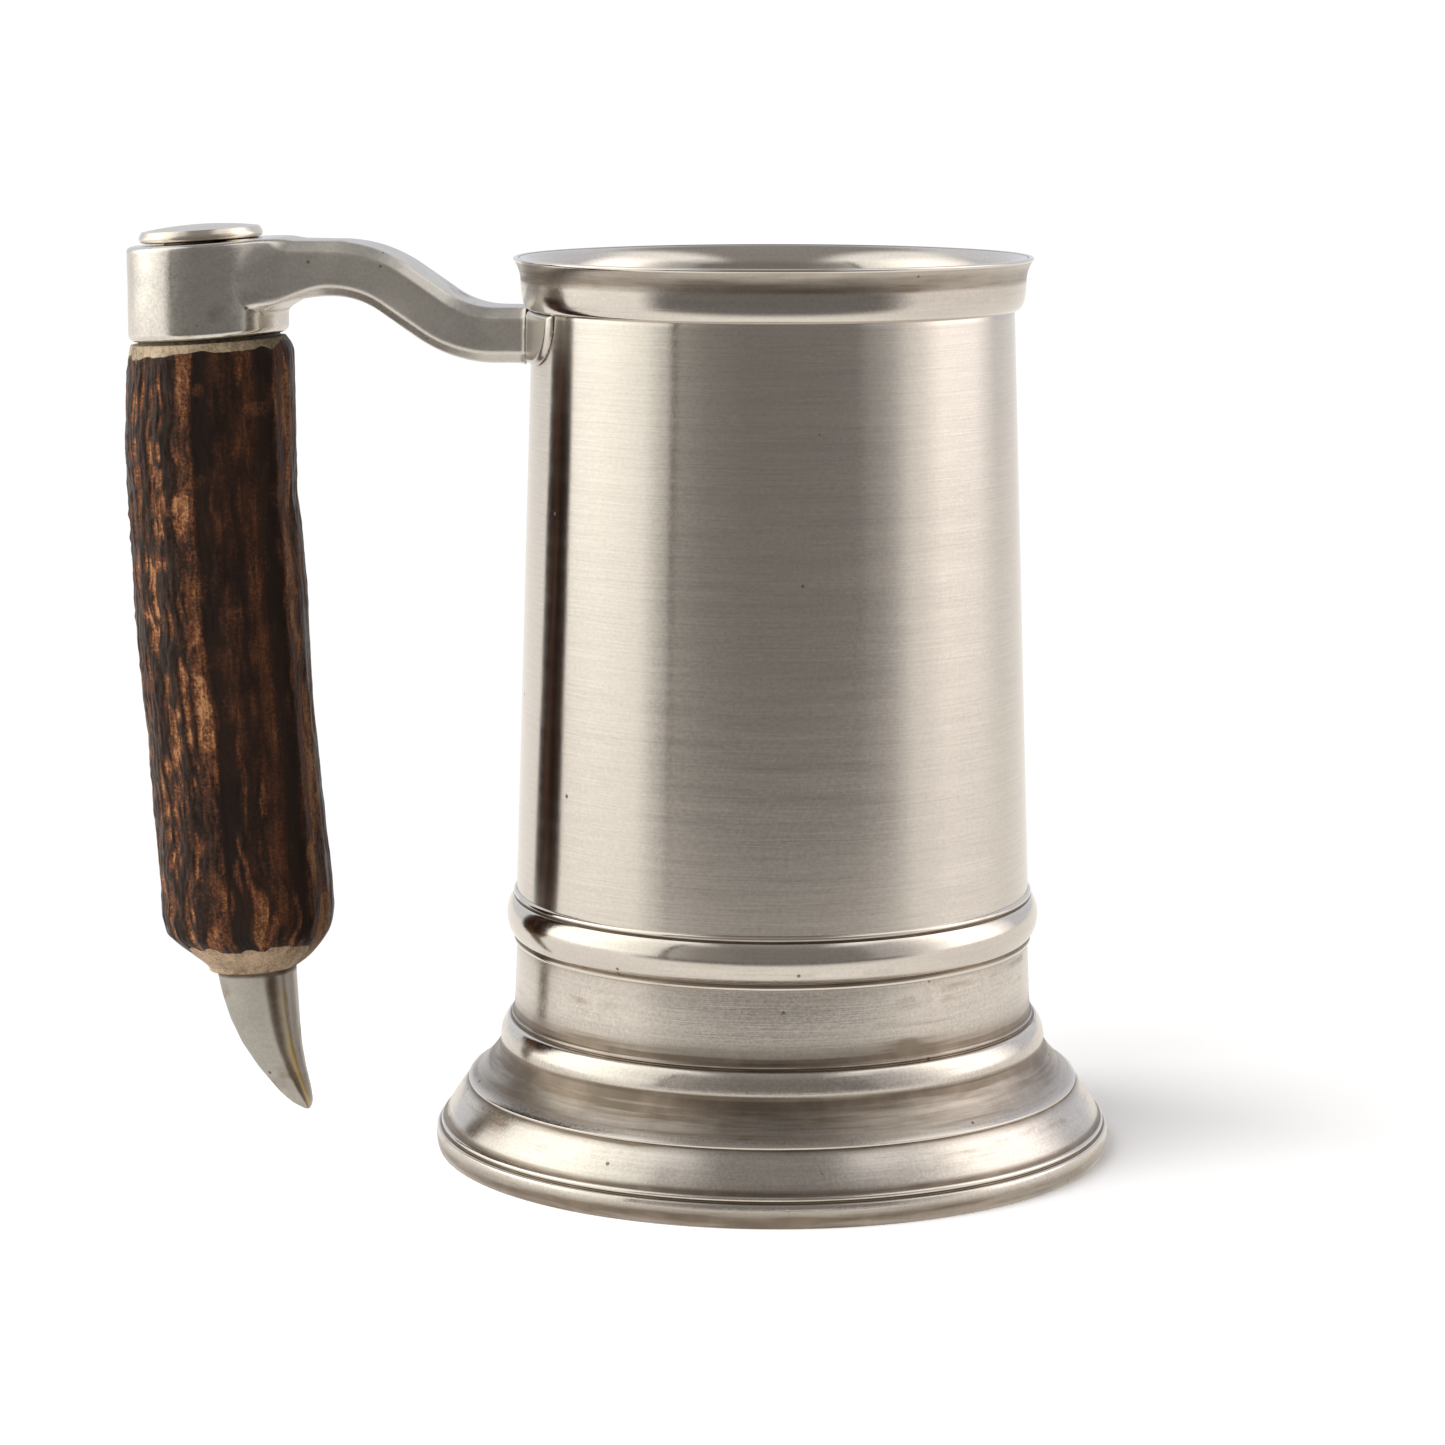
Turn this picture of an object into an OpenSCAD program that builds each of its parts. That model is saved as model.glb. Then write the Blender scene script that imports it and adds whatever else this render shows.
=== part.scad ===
// Pint tankard with a bar-mounted antler grip.
// Frame: origin on the vessel's axis at the plane it stands on, +Z up,
// handle towards -X. Millimetres.

/* [Vessel] */
// Height of the drinking rim above the table
rim_z = 143.8; // [143.4:0.1:144.4]
// Outside radius of the barrel just below the rim moulding
barrel_r_top = 38.25; // [38.1:0.05:38.4]
// Outside radius of the barrel where it meets the foot, hidden by the band
barrel_r_low = 41.5; // [41.3:0.05:41.7]
// Wall thickness of the barrel
wall = 1.4; // [1.2:0.1:1.8]
// Height of the inside floor above the table
floor_z = 21.7; // [21.5:0.1:24]
// Thickness of the floor disc
floor_t = 1.6; // [1.2:0.1:2]

/* [Foot] */
// Largest outside radius of the foot
foot_r = 54.75; // [54.6:0.05:54.9]
// Inside radius of the flat ring that the foot stands on
foot_ring_r_in = 51.2; // [50.8:0.1:51.5]
// Height where the foot's plain drum ends under the barrel
joint_z = 38.2; // [37.8:0.1:38.6]
// Outside radius of the half-round band over that joint
band_r = 42.95; // [42.7:0.05:43.2]

/* [Handle] */
// Distance from the vessel's axis to the centre of the boss
boss_x = 92.15; // [91.9:0.05:92.6]
// Radius of the boss
boss_r = 13; // [12.8:0.05:13.2]
// Height of the boss's lower face above the table, on the grip's axis
boss_z = 130.1; // [129.9:0.1:130.3]
// Height of the boss along the grip's axis
boss_h = 15.6; // [15.3:0.1:16]
// Lean of the grip's axis, its lower end towards the vessel, in degrees
lean = 3.7; // [3.1:0.1:4.3]
// Width of the arm
arm_w = 13.6; // [12:0.2:15]
// Depth of the arm's section
arm_h = 8.9; // [8.7:0.1:9.4]
// Bevel along the arm's four edges
arm_bevel = 1.7; // [1:0.1:2.2]
// Largest radius of the antler grip
grip_r = 14.25; // [14:0.05:14.4]
// Length of the antler grip
grip_len = 103.6; // [102:0.1:104]
// Length of the claw finial below the grip
claw_len = 24.6; // [21.5:0.1:24.8]

/* [Fastening] */
// Radius of the tie rod, an M5 stud
rod_r = 2.5; // [2:0.25:3]
// Radius of the cap disc
cap_r = 10; // [9.2:0.05:10.3]
// Thickness of the cap disc at its edge
cap_t = 1.8; // [1.6:0.1:2.2]
// Thickness of the fibre washer between boss and grip
seat_t = 0.5; // [0.3:0.1:0.8]

/* [Hidden] */
$fn = 96;

// heights and radii shared by neighbouring parts
collar_z = rim_z - 8.4;                  // lower edge of the rim moulding
socket_z = collar_z + 2.1;               // where barrel and rim moulding butt
taper = (barrel_r_low - barrel_r_top) / (collar_z - joint_z);
function barrel_r(z) = barrel_r_low - taper * (z - joint_z);
socket_r = barrel_r_top - 0.05;          // turned seat for the rim moulding
mouth_r = socket_r - wall + 0.05;        // inside radius at the top of the barrel
bore_low_r = barrel_r_low - wall - 0.2;  // inside radius at the foot joint
drum_r = 41.35;                          // plain drum under the band
pad_w = 22;                              // half its width across the barrel
pad_t = 0.9;                             // saddle pad, over the barrel's wall
pad_z0 = collar_z - 8.3;
pad_z1 = collar_z - 0.05;
well_r = 6;                              // counterbore in the boss
well_z = 8.6;                            // its floor, above the boss's lower face
washer_t = 1;
nut_h = 4;
spigot_h = 0.9;
claw_r = 6.5;
claw_hole = 9;

PEWTER = [0.72, 0.70, 0.67];
PEWTER_DARK = [0.62, 0.60, 0.57];
ANTLER = [0.36, 0.22, 0.14];
STEEL = [0.55, 0.56, 0.58];

// ---------- vessel ----------
module ring_2d(r0, z0, r1, z1) { polygon([[r0, z0], [r1, z0], [r1, z1], [r0, z1]]); }

module barrel()
    color(PEWTER)
    rotate_extrude()
    polygon([[bore_low_r, joint_z], [barrel_r_low, joint_z],
             [barrel_r_top, collar_z], [socket_r, collar_z],
             [socket_r, socket_z], [mouth_r, socket_z]]);

// rim moulding: lip bead, hollow flare, soft roll, undercut onto the barrel
module rim_collar_2d() {
    difference() {
        union() {
            polygon([[mouth_r, socket_z], [socket_r, socket_z], [socket_r, collar_z],
                     [38.75, collar_z], [39.35, collar_z + 0.6], [39.7, collar_z + 1.4],
                     [39.88, collar_z + 2.5], [39.92, collar_z + 3.6],
                     [40.05, collar_z + 4.2], [41.3, rim_z - 0.75],
                     [41.3, rim_z - 0.45], [40.4, rim_z - 0.05], [mouth_r, rim_z - 0.05]]);
            translate([40.8, rim_z - 0.5]) circle(r = 0.5, $fn = 32);
        }
        // hollow outside the flare
        translate([45.9, rim_z - 3.9]) circle(r = 5.85);
        // trumpet flare inside the lip
        difference() {
            ring_2d(mouth_r - 1, socket_z + 1, 40.55, rim_z + 1);
            translate([mouth_r + 5.6, socket_z + 1]) circle(r = 5.6);
        }
    }
}
module rim_collar() color(PEWTER) rotate_extrude() rim_collar_2d();

// half-round band with a fine bead above and below it
module mid_band_2d() {
    difference() {
        union() {
            intersection() {
                translate([band_r - 5.1, joint_z]) circle(r = 5.1);
                ring_2d(drum_r - 1, joint_z - 3.1, band_r + 1, joint_z + 3.1);
            }
            ring_2d(drum_r - 1, joint_z - 4.4, drum_r + 0.3, joint_z + 4.3);
            translate([41.35, joint_z + 3.75]) circle(r = 0.55, $fn = 32);
            translate([41.3, joint_z - 3.85]) circle(r = 0.6, $fn = 32);
        }
        // seats on the drum below and on the barrel above
        ring_2d(drum_r - 3, joint_z - 6, drum_r, joint_z);
        polygon([[drum_r - 3, joint_z], [barrel_r(joint_z), joint_z],
                 [barrel_r(joint_z + 6), joint_z + 6], [drum_r - 3, joint_z + 6]]);
    }
}
module mid_band() color(PEWTER) rotate_extrude() mid_band_2d();

// foot: drum, shoulder roll, hollow flare, lower moulding, fine bead, plinth
module foot_skirt_2d() {
    difference() {
        union() {
            // plinth with a swelling side
            intersection() {
                translate([foot_r - 6, 2.1]) circle(r = 6);
                ring_2d(foot_ring_r_in - 6, 0, foot_r + 1, 3.75);
            }
            ring_2d(foot_ring_r_in - 6, 0, foot_r - 1.35, 4.9);
            translate([foot_r - 1.3, 4.33]) circle(r = 0.5, $fn = 32);
            // lower moulding
            intersection() {
                translate([14.85, -16.49]) circle(r = 44.1);
                ring_2d(40, 4.85, 60, 10.9);
            }
            // hollow flare
            difference() {
                polygon([[39, 10.5], [49.2, 10.5], [49.2, 10.85], [49.45, 11],
                         [49.45, 11.25], [44.2, 17.2], [39, 17.2]]);
                translate([56.9, 23.57]) circle(r = 14.3);
            }
            // shoulder roll
            intersection() {
                translate([38.95, 18]) circle(r = 5.2);
                ring_2d(39, 16.4, 46, 21.4);
            }
            // fine bead and plain drum
            ring_2d(39, 21, 42.1, 22.1);
            translate([41.85, 22.05]) circle(r = 0.5, $fn = 32);
            polygon([[39, 21], [41.95, 21], [drum_r, joint_z - 4.4], [drum_r, joint_z], [39, joint_z]]);
        }
        // inside: socket for the floor disc, its ledge, and the hollow under the foot
        ring_2d(30, floor_z - floor_t, bore_low_r, joint_z + 1);
        polygon([[30, -1], [foot_ring_r_in + 0.3, -1], [foot_ring_r_in, 0], [foot_ring_r_in, 2.2],
                 [50.9, 5.2], [48.4, 8.8], [46, 10.9], [43.6, 13.4], [42.6, 15.2],
                 [42.3, 17.6], [41.6, 18.6], [bore_low_r - 1.6, 18.9],
                 [bore_low_r - 1.6, floor_z], [30, floor_z]]);
    }
}
module foot_skirt() color(PEWTER) rotate_extrude() foot_skirt_2d();

// soldered floor, slightly dished below
module floor_disc()
    color(PEWTER_DARK)
    difference() {
        translate([0, 0, floor_z - floor_t]) cylinder(r = bore_low_r, h = floor_t);
        translate([0, 0, floor_z - floor_t - 119.6]) sphere(r = 120, $fn = 96);
    }

// ---------- handle ----------
module handle_frame() translate([-boss_x, 0, boss_z]) rotate([0, -lean, 0]) children();

// U-shaped saddle soldered to the barrel under the rim moulding
module saddle_outline() {
    union() {
        translate([-pad_w, 6.5]) square([2 * pad_w, pad_z1 - pad_z0 - 6.5]);
        translate([6.6 - pad_w, 0]) square([2 * pad_w - 13.2, 6.7]);
        for (s = [-1, 1]) translate([s * (pad_w - 6.6), 6.6]) circle(r = 6.6);
    }
}
module saddle_pad()
    color(PEWTER)
    intersection() {
        rotate_extrude()
        polygon([[barrel_r(pad_z0 - 3), pad_z0 - 3], [barrel_r(pad_z0 - 3) + pad_t, pad_z0 - 3],
                 [barrel_r(pad_z1 + 0.05) + pad_t, pad_z1 + 0.05], [barrel_r(pad_z1 + 0.05), pad_z1 + 0.05]]);
        translate([-60, 0, pad_z0]) rotate([90, 0, 90]) linear_extrude(45) saddle_outline();
    }

// the arm's section: x across the depth, y across the width
module arm_section() {
    a = arm_h / 2;
    b = arm_w / 2;
    c = arm_bevel;
    polygon([[-a, -b + c], [-a + c, -b], [a - c, -b], [a, -b + c],
             [a, b - c], [a - c, b], [-a + c, b], [-a, b - c]]);
}
bend_r = 18;
bend_a = atan(3 / 4);                   // 0.6 down for every 0.8 along
arm_z1 = boss_z + 11.4;                 // centre height at the boss
arm_z0 = collar_z - 4.25;               // centre height at the pad
arm_run = (arm_z1 - arm_z0 - 2 * bend_r * 0.2) / 0.6;
arm_x1 = 70.5;                          // where the bend starts, from the axis
arm_x0 = arm_x1 - 2 * bend_r * 0.6 - arm_run * 0.8;
module arm_straight(len) rotate([0, 90, 0]) linear_extrude(len) arm_section();
module arm_bend()                       // from +X heading, turning down
    translate([0, 0, -bend_r]) rotate([90, 0, 0])
    intersection() {
        rotate_extrude(angle = 90) translate([bend_r, 0]) arm_section();
        translate([0, 0, -arm_w]) linear_extrude(2 * arm_w) polygon([[0, 0], [0, 40], [30, 40]]);
    }
module arm_bar() {
    translate([-80, 0, arm_z1]) arm_straight(80 - arm_x1);
    translate([-arm_x1, 0, arm_z1]) arm_bend();
    translate([-arm_x1 + bend_r * 0.6, 0, arm_z1 - bend_r * 0.2])
        rotate([0, bend_a, 0]) arm_straight(arm_run);
    translate([-arm_x0, 0, arm_z0]) mirror([1, 0, 0]) mirror([0, 0, 1]) arm_bend();
    translate([-arm_x0, 0, arm_z0]) arm_straight(arm_x0 - 36);
}
// web that widens the arm into the boss, with hollow corners
web_r = 9;
module arm_web() {
    reach = sqrt(pow(boss_r + web_r, 2) - pow(arm_w / 2 + web_r, 2));
    translate([-boss_x, 0, arm_z1 - arm_h / 2 + arm_bevel])
    linear_extrude(arm_h - 2 * arm_bevel)
    difference() {
        translate([2, -arm_w / 2 - 4]) square([reach - 2, arm_w + 8]);
        for (s = [-1, 1]) translate([reach, s * (arm_w / 2 + web_r)]) circle(r = web_r);
    }
}
module handle_arm()
    color(PEWTER)
    difference() {
        union() {
            intersection() {
                translate([-boss_x, 0, boss_z - 4]) cylinder(r = boss_r, h = boss_h + 8);
                handle_frame() translate([-30, -30, 0]) cube([60, 60, boss_h]);
            }
            arm_bar();
            arm_web();
        }
        // the boss's bore and the well for nut and washer
        handle_frame() {
            translate([0, 0, -2]) cylinder(r = rod_r + 0.2, h = boss_h + 4);
            translate([0, 0, well_z]) cylinder(r = well_r, h = boss_h);
        }
        // end of the arm fitted to the saddle and cleared under the rim moulding
        translate([0, 0, pad_z0 - 3])
            cylinder(r1 = barrel_r(pad_z0 - 3) + pad_t, r2 = barrel_r(pad_z0 + 17) + pad_t, h = 20);
        translate([0, 0, collar_z - 0.1]) cylinder(r = 40.1, h = 20);
    }

module cap_disc()
    color(PEWTER)
    handle_frame()
    translate([0, 0, boss_h])
    rotate_extrude()
    intersection() {
        union() {
            ring_2d(0, 0, cap_r - 0.7, cap_t + 1);
            ring_2d(0, 0, cap_r, cap_t - 0.8);
            translate([cap_r - 0.8, cap_t - 0.8]) circle(r = 0.8, $fn = 32);
            ring_2d(0, -spigot_h, well_r - 0.05, 0.5);
        }
        translate([0, cap_t + 0.8 - 58]) circle(r = 58, $fn = 96);
        ring_2d(0, -spigot_h, cap_r + 1, cap_t + 2);
    }

// stud from the claw up through grip and boss
module tie_rod()
    color(STEEL)
    handle_frame()
    translate([0, 0, -seat_t - grip_len - claw_hole + 0.5])
    cylinder(r = rod_r, h = seat_t + grip_len + claw_hole - 0.5 + well_z + washer_t + nut_h + 0.6);

module nut_washer()
    color(STEEL)
    handle_frame()
    translate([0, 0, well_z])
    difference() {
        cylinder(r = 5, h = washer_t);
        translate([0, 0, -1]) cylinder(r = rod_r + 0.15, h = washer_t + 2);
    }

module rod_nut()
    color(STEEL)
    handle_frame()
    translate([0, 0, well_z + washer_t])
    difference() {
        cylinder(r = 8 / 2 / cos(30), h = nut_h, $fn = 6);
        translate([0, 0, -1]) cylinder(r = rod_r, h = nut_h + 2);
    }

module seat_washer()
    color([0.25, 0.2, 0.12])
    handle_frame()
    translate([0, 0, -seat_t])
    difference() {
        cylinder(r = 11.5, h = seat_t);
        translate([0, 0, -1]) cylinder(r = rod_r + 0.2, h = seat_t + 2);
    }

// antler: t runs 0 to 1 down the grip; girth, bow and faceted section
function grip_girth(t) =
    grip_r * (0.985 + 0.018 * sin(180 * min(1, t * 1.25)) + 0.028 * pow(t, 5))
    - (t < 0.02 ? 1.3 * (1 - t / 0.02) : 0)
    - (t > 0.925 ? 7.2 * pow((t - 0.925) / 0.075, 1.1) : 0);
function grip_bow(t) = -0.1 - 1.5 * sin(180 * pow(t, 0.75)) - 0.8 * t * t * t;
function grip_lobe(a, t) =
    1 + 0.014 * cos(7 * a + 50 * t) + 0.01 * cos(3 * a - 70 * t + 40) + 0.008 * cos(11 * a + 30);
grip_t = [0, 0.02, 0.07, 0.14, 0.22, 0.3, 0.38, 0.46, 0.54, 0.62, 0.7, 0.78, 0.86, 0.925,
          0.945, 0.97, 1];
grip_n = 36;
function ring_points(t) = [for (i = [0:grip_n - 1])
    let (a = 360 * i / grip_n, r = grip_girth(t) * grip_lobe(a, t))
    [grip_bow(t) + r * cos(a), 0.97 * r * sin(a), -grip_len * t]];
// closed skin over rings listed from the top down, n points in each
function skin_faces(rings, n) = concat(
    [[for (i = [0:n - 1]) n - 1 - i]],
    [for (k = [0:rings - 2], i = [0:n - 1])
        [k * n + i, k * n + (i + 1) % n, (k + 1) * n + (i + 1) % n]],
    [for (k = [0:rings - 2], i = [0:n - 1])
        [k * n + i, (k + 1) * n + (i + 1) % n, (k + 1) * n + i]],
    [[for (i = [0:n - 1]) (rings - 1) * n + i]]);

module antler_grip()
    color(ANTLER)
    handle_frame()
    translate([0, 0, -seat_t])
    difference() {
        polyhedron(points = [for (t = grip_t) each ring_points(t)],
                   faces = skin_faces(len(grip_t), grip_n), convexity = 4);
        translate([0, 0, -grip_len - 2]) cylinder(r = rod_r + 0.7, h = grip_len + 4);
    }

// claw: a tusk that curves towards the vessel
claw_t = [0, 0.06, 0.13, 0.21, 0.3, 0.4, 0.5, 0.6, 0.7, 0.79, 0.87, 0.93, 0.97, 0.993];
claw_n = 28;
function claw_girth(t) = claw_r * sqrt(1 - pow(t, 1.2));
function claw_bow(t) = -0.5 + 6.6 * pow(t, 2.1);
module claw_finial()
    color(PEWTER)
    handle_frame()
    translate([0, 0, -seat_t - grip_len])
    difference() {
        polyhedron(points = [for (t = claw_t) each [for (i = [0:claw_n - 1])
                       let (a = 360 * i / claw_n, r = claw_girth(t))
                       [claw_bow(t) + r * cos(a), 0.92 * r * sin(a), -claw_len * t]]],
                   faces = skin_faces(len(claw_t), claw_n), convexity = 4);
        translate([0, 0, -claw_hole]) cylinder(r = rod_r, h = claw_hole + 2);
    }

barrel();
rim_collar();
mid_band();
foot_skirt();
floor_disc();
saddle_pad();
handle_arm();
cap_disc();
tie_rod();
rod_nut();
nut_washer();
seat_washer();
antler_grip();
claw_finial();
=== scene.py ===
import json
import math

import bpy
import numpy as np
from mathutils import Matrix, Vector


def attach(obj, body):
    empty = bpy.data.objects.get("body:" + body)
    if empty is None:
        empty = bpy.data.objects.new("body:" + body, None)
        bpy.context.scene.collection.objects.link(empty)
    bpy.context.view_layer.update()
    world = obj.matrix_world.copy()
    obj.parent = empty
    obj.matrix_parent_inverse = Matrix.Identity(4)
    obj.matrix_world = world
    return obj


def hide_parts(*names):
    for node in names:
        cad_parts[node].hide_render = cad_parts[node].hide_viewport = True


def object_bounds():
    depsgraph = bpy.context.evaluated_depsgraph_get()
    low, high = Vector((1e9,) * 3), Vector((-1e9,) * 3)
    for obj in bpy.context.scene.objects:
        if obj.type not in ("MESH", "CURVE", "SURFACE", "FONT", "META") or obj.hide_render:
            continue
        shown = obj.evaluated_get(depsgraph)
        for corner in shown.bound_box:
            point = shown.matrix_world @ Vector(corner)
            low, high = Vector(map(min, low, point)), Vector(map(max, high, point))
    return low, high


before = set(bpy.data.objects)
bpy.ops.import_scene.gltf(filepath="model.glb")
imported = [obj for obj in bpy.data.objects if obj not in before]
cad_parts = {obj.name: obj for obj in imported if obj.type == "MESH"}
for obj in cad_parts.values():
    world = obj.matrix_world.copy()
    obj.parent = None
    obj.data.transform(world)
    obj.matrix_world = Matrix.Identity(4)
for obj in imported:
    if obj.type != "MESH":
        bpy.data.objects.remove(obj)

CAD_BOX = [list(map(float, corner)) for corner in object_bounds()]
MM = 0.001
rad = math.radians
TURN = rad(7.4)  # the camera and the studio round it stand this far round from square to the handle
CT, ST = math.cos(TURN), math.sin(TURN)


def studio(x, y, z):
    """A place in the studio, with the camera towards -Y, in the row frame."""
    return (x * CT - y * ST, x * ST + y * CT, z)


# ------------------------------------------------------------------ helpers


def new_piece(name, verts, quads, tris=(), attrs=None, nodes=(), material=None):
    """A mesh object from points in millimetres, riding on the root body."""
    verts = np.asarray(verts, np.float64) * MM
    quads = np.asarray(quads, np.int64).reshape(-1, 4)
    tris = np.asarray(tris, np.int64).reshape(-1, 3)
    mesh = bpy.data.meshes.new(name)
    mesh.vertices.add(len(verts))
    mesh.vertices.foreach_set("co", verts.astype(np.float32).ravel())
    nl = quads.size + tris.size
    mesh.loops.add(nl)
    mesh.loops.foreach_set(
        "vertex_index", np.concatenate([quads.ravel(), tris.ravel()]).astype(np.int32)
    )
    mesh.polygons.add(len(quads) + len(tris))
    start = np.concatenate([
        np.arange(len(quads)) * 4,
        len(quads) * 4 + np.arange(len(tris)) * 3,
    ]).astype(np.int32)
    mesh.polygons.foreach_set("loop_start", start)
    mesh.polygons.foreach_set(
        "use_smooth", np.ones(len(quads) + len(tris), dtype=bool)
    )
    mesh.update(calc_edges=True)
    for key, values in (attrs or {}).items():
        a = mesh.attributes.new(key, "FLOAT", "POINT")
        a.data.foreach_set("value", np.asarray(values, np.float32).ravel())
    mesh.validate()
    obj = bpy.data.objects.new(name, mesh)
    bpy.context.scene.collection.objects.link(obj)
    if material is not None:
        mesh.materials.append(material)
    if nodes:
        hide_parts(*nodes)
    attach(obj, "root")
    return obj


def arc(cx, cy, r, a0, a1, n=24):
    a = np.radians(np.linspace(a0, a1, n))
    return [(cx + r * math.cos(t), cy + r * math.sin(t)) for t in a]


def arc_z(cx, cy, r, z0, z1, side=1, n=24):
    """Part of a circle between two heights, on its outer (1) or inner (-1) side."""
    a0 = math.degrees(math.asin(max(-1, min(1, (z0 - cy) / r))))
    a1 = math.degrees(math.asin(max(-1, min(1, (z1 - cy) / r))))
    if side > 0:
        return arc(cx, cy, r, a0, a1, n)
    return arc(cx, cy, r, 180 - a0, 180 - a1, n)


def curve_through(points, n=8):
    """Catmull-Rom curve through points."""
    p = [np.array(q, float) for q in points]
    p = [2 * p[0] - p[1]] + p + [2 * p[-1] - p[-2]]
    out = []
    for i in range(1, len(p) - 2):
        for k in range(n):
            t = k / n
            out.append(
                0.5 * (2 * p[i] + (p[i + 1] - p[i - 1]) * t
                       + (2 * p[i - 1] - 5 * p[i] + 4 * p[i + 1] - p[i + 2]) * t * t
                       + (3 * p[i] - p[i - 1] - 3 * p[i + 1] + p[i + 2]) * t ** 3)
            )
    out.append(p[-2])
    return [tuple(q) for q in out]


def smooth_closed(values, sigma_steps):
    """Gaussian blur of values round a closed loop."""
    n = len(values)
    f = np.fft.rfftfreq(n)
    g = np.exp(-2 * (math.pi * f * sigma_steps) ** 2)
    if values.ndim == 1:
        return np.fft.irfft(np.fft.rfft(values) * g, n)
    return np.stack([np.fft.irfft(np.fft.rfft(v) * g, n) for v in values.T], 1)


def dress_profile(points, closed=True, step=0.04, soft=0.07, turn=7.0, longest=1.2):
    """Round a profile's corners, measure how hollow each point lies, and thin it where it is straight."""
    p = np.array(points, float)
    if closed:
        p = np.vstack([p, p[:1]])
    else:  # run the open profile there and back, so that it blurs like a closed one
        p = np.vstack([p, p[::-1][1:]])
    d = np.hypot(*np.diff(p, axis=0).T)
    keep = np.concatenate([[True], d > 1e-7])
    p = p[keep]
    d = np.hypot(*np.diff(p, axis=0).T)
    s = np.concatenate([[0], np.cumsum(d)])
    n = max(64, int(s[-1] / step))
    t = np.linspace(0, s[-1], n, endpoint=False)
    q = np.stack([np.interp(t, s, p[:, 0]), np.interp(t, s, p[:, 1])], 1)
    ds = s[-1] / n
    fine = smooth_closed(q, soft / ds)
    tang = np.roll(fine, -1, 0) - np.roll(fine, 1, 0)
    tang /= np.linalg.norm(tang, axis=1)[:, None] + 1e-12
    out = np.stack([tang[:, 1], -tang[:, 0]], 1)  # outward of a counter-clockwise loop
    hollow = np.zeros(n)
    for sigma, depth in ((0.3, 0.045), (0.8, 0.16), (1.8, 0.5)):
        wide = smooth_closed(q, sigma / ds)
        hollow = np.maximum(hollow, ((wide - fine) * out).sum(1) / depth)
    proud = np.zeros(n)
    for sigma, depth in ((0.25, 0.05), (0.6, 0.14)):
        wide = smooth_closed(q, sigma / ds)
        proud = np.maximum(proud, ((fine - wide) * out).sum(1) / depth)
    ang = np.unwrap(np.arctan2(tang[:, 1], tang[:, 0]))
    last = n if closed else n // 2 + 1
    pick = [0]
    for i in range(1, last):
        if (abs(ang[i] - ang[pick[-1]]) > rad(turn)
                or (i - pick[-1]) * ds > longest):
            pick.append(i)
    if not closed and pick[-1] != last - 1:
        pick.append(last - 1)
    if closed and (last - pick[-1]) * ds < 0.3 * step:
        pick.pop()
    pick = np.array(pick)
    return (fine[pick], np.clip(hollow[pick], 0, 1.5), np.clip(proud[pick], 0, 1.5),
            t[pick])


def noise_table(seed, nu, nv):
    return np.random.default_rng(seed).random((nu, nv))


def value_noise(u, v, nu, seed, nv=97):
    """Smooth noise over u (wraps after nu cells) and v."""
    table = noise_table(seed, nu, nv)
    iu, iv = np.floor(u).astype(int), np.floor(v).astype(int)
    fu, fv = u - iu, v - iv
    fu, fv = fu * fu * fu * (fu * (fu * 6 - 15) + 10), fv * fv * fv * (fv * (fv * 6 - 15) + 10)
    a = table[iu % nu, iv % nv]
    b = table[(iu + 1) % nu, iv % nv]
    c = table[iu % nu, (iv + 1) % nv]
    d = table[(iu + 1) % nu, (iv + 1) % nv]
    return (a * (1 - fu) + b * fu) * (1 - fv) + (c * (1 - fu) + d * fu) * fv


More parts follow.
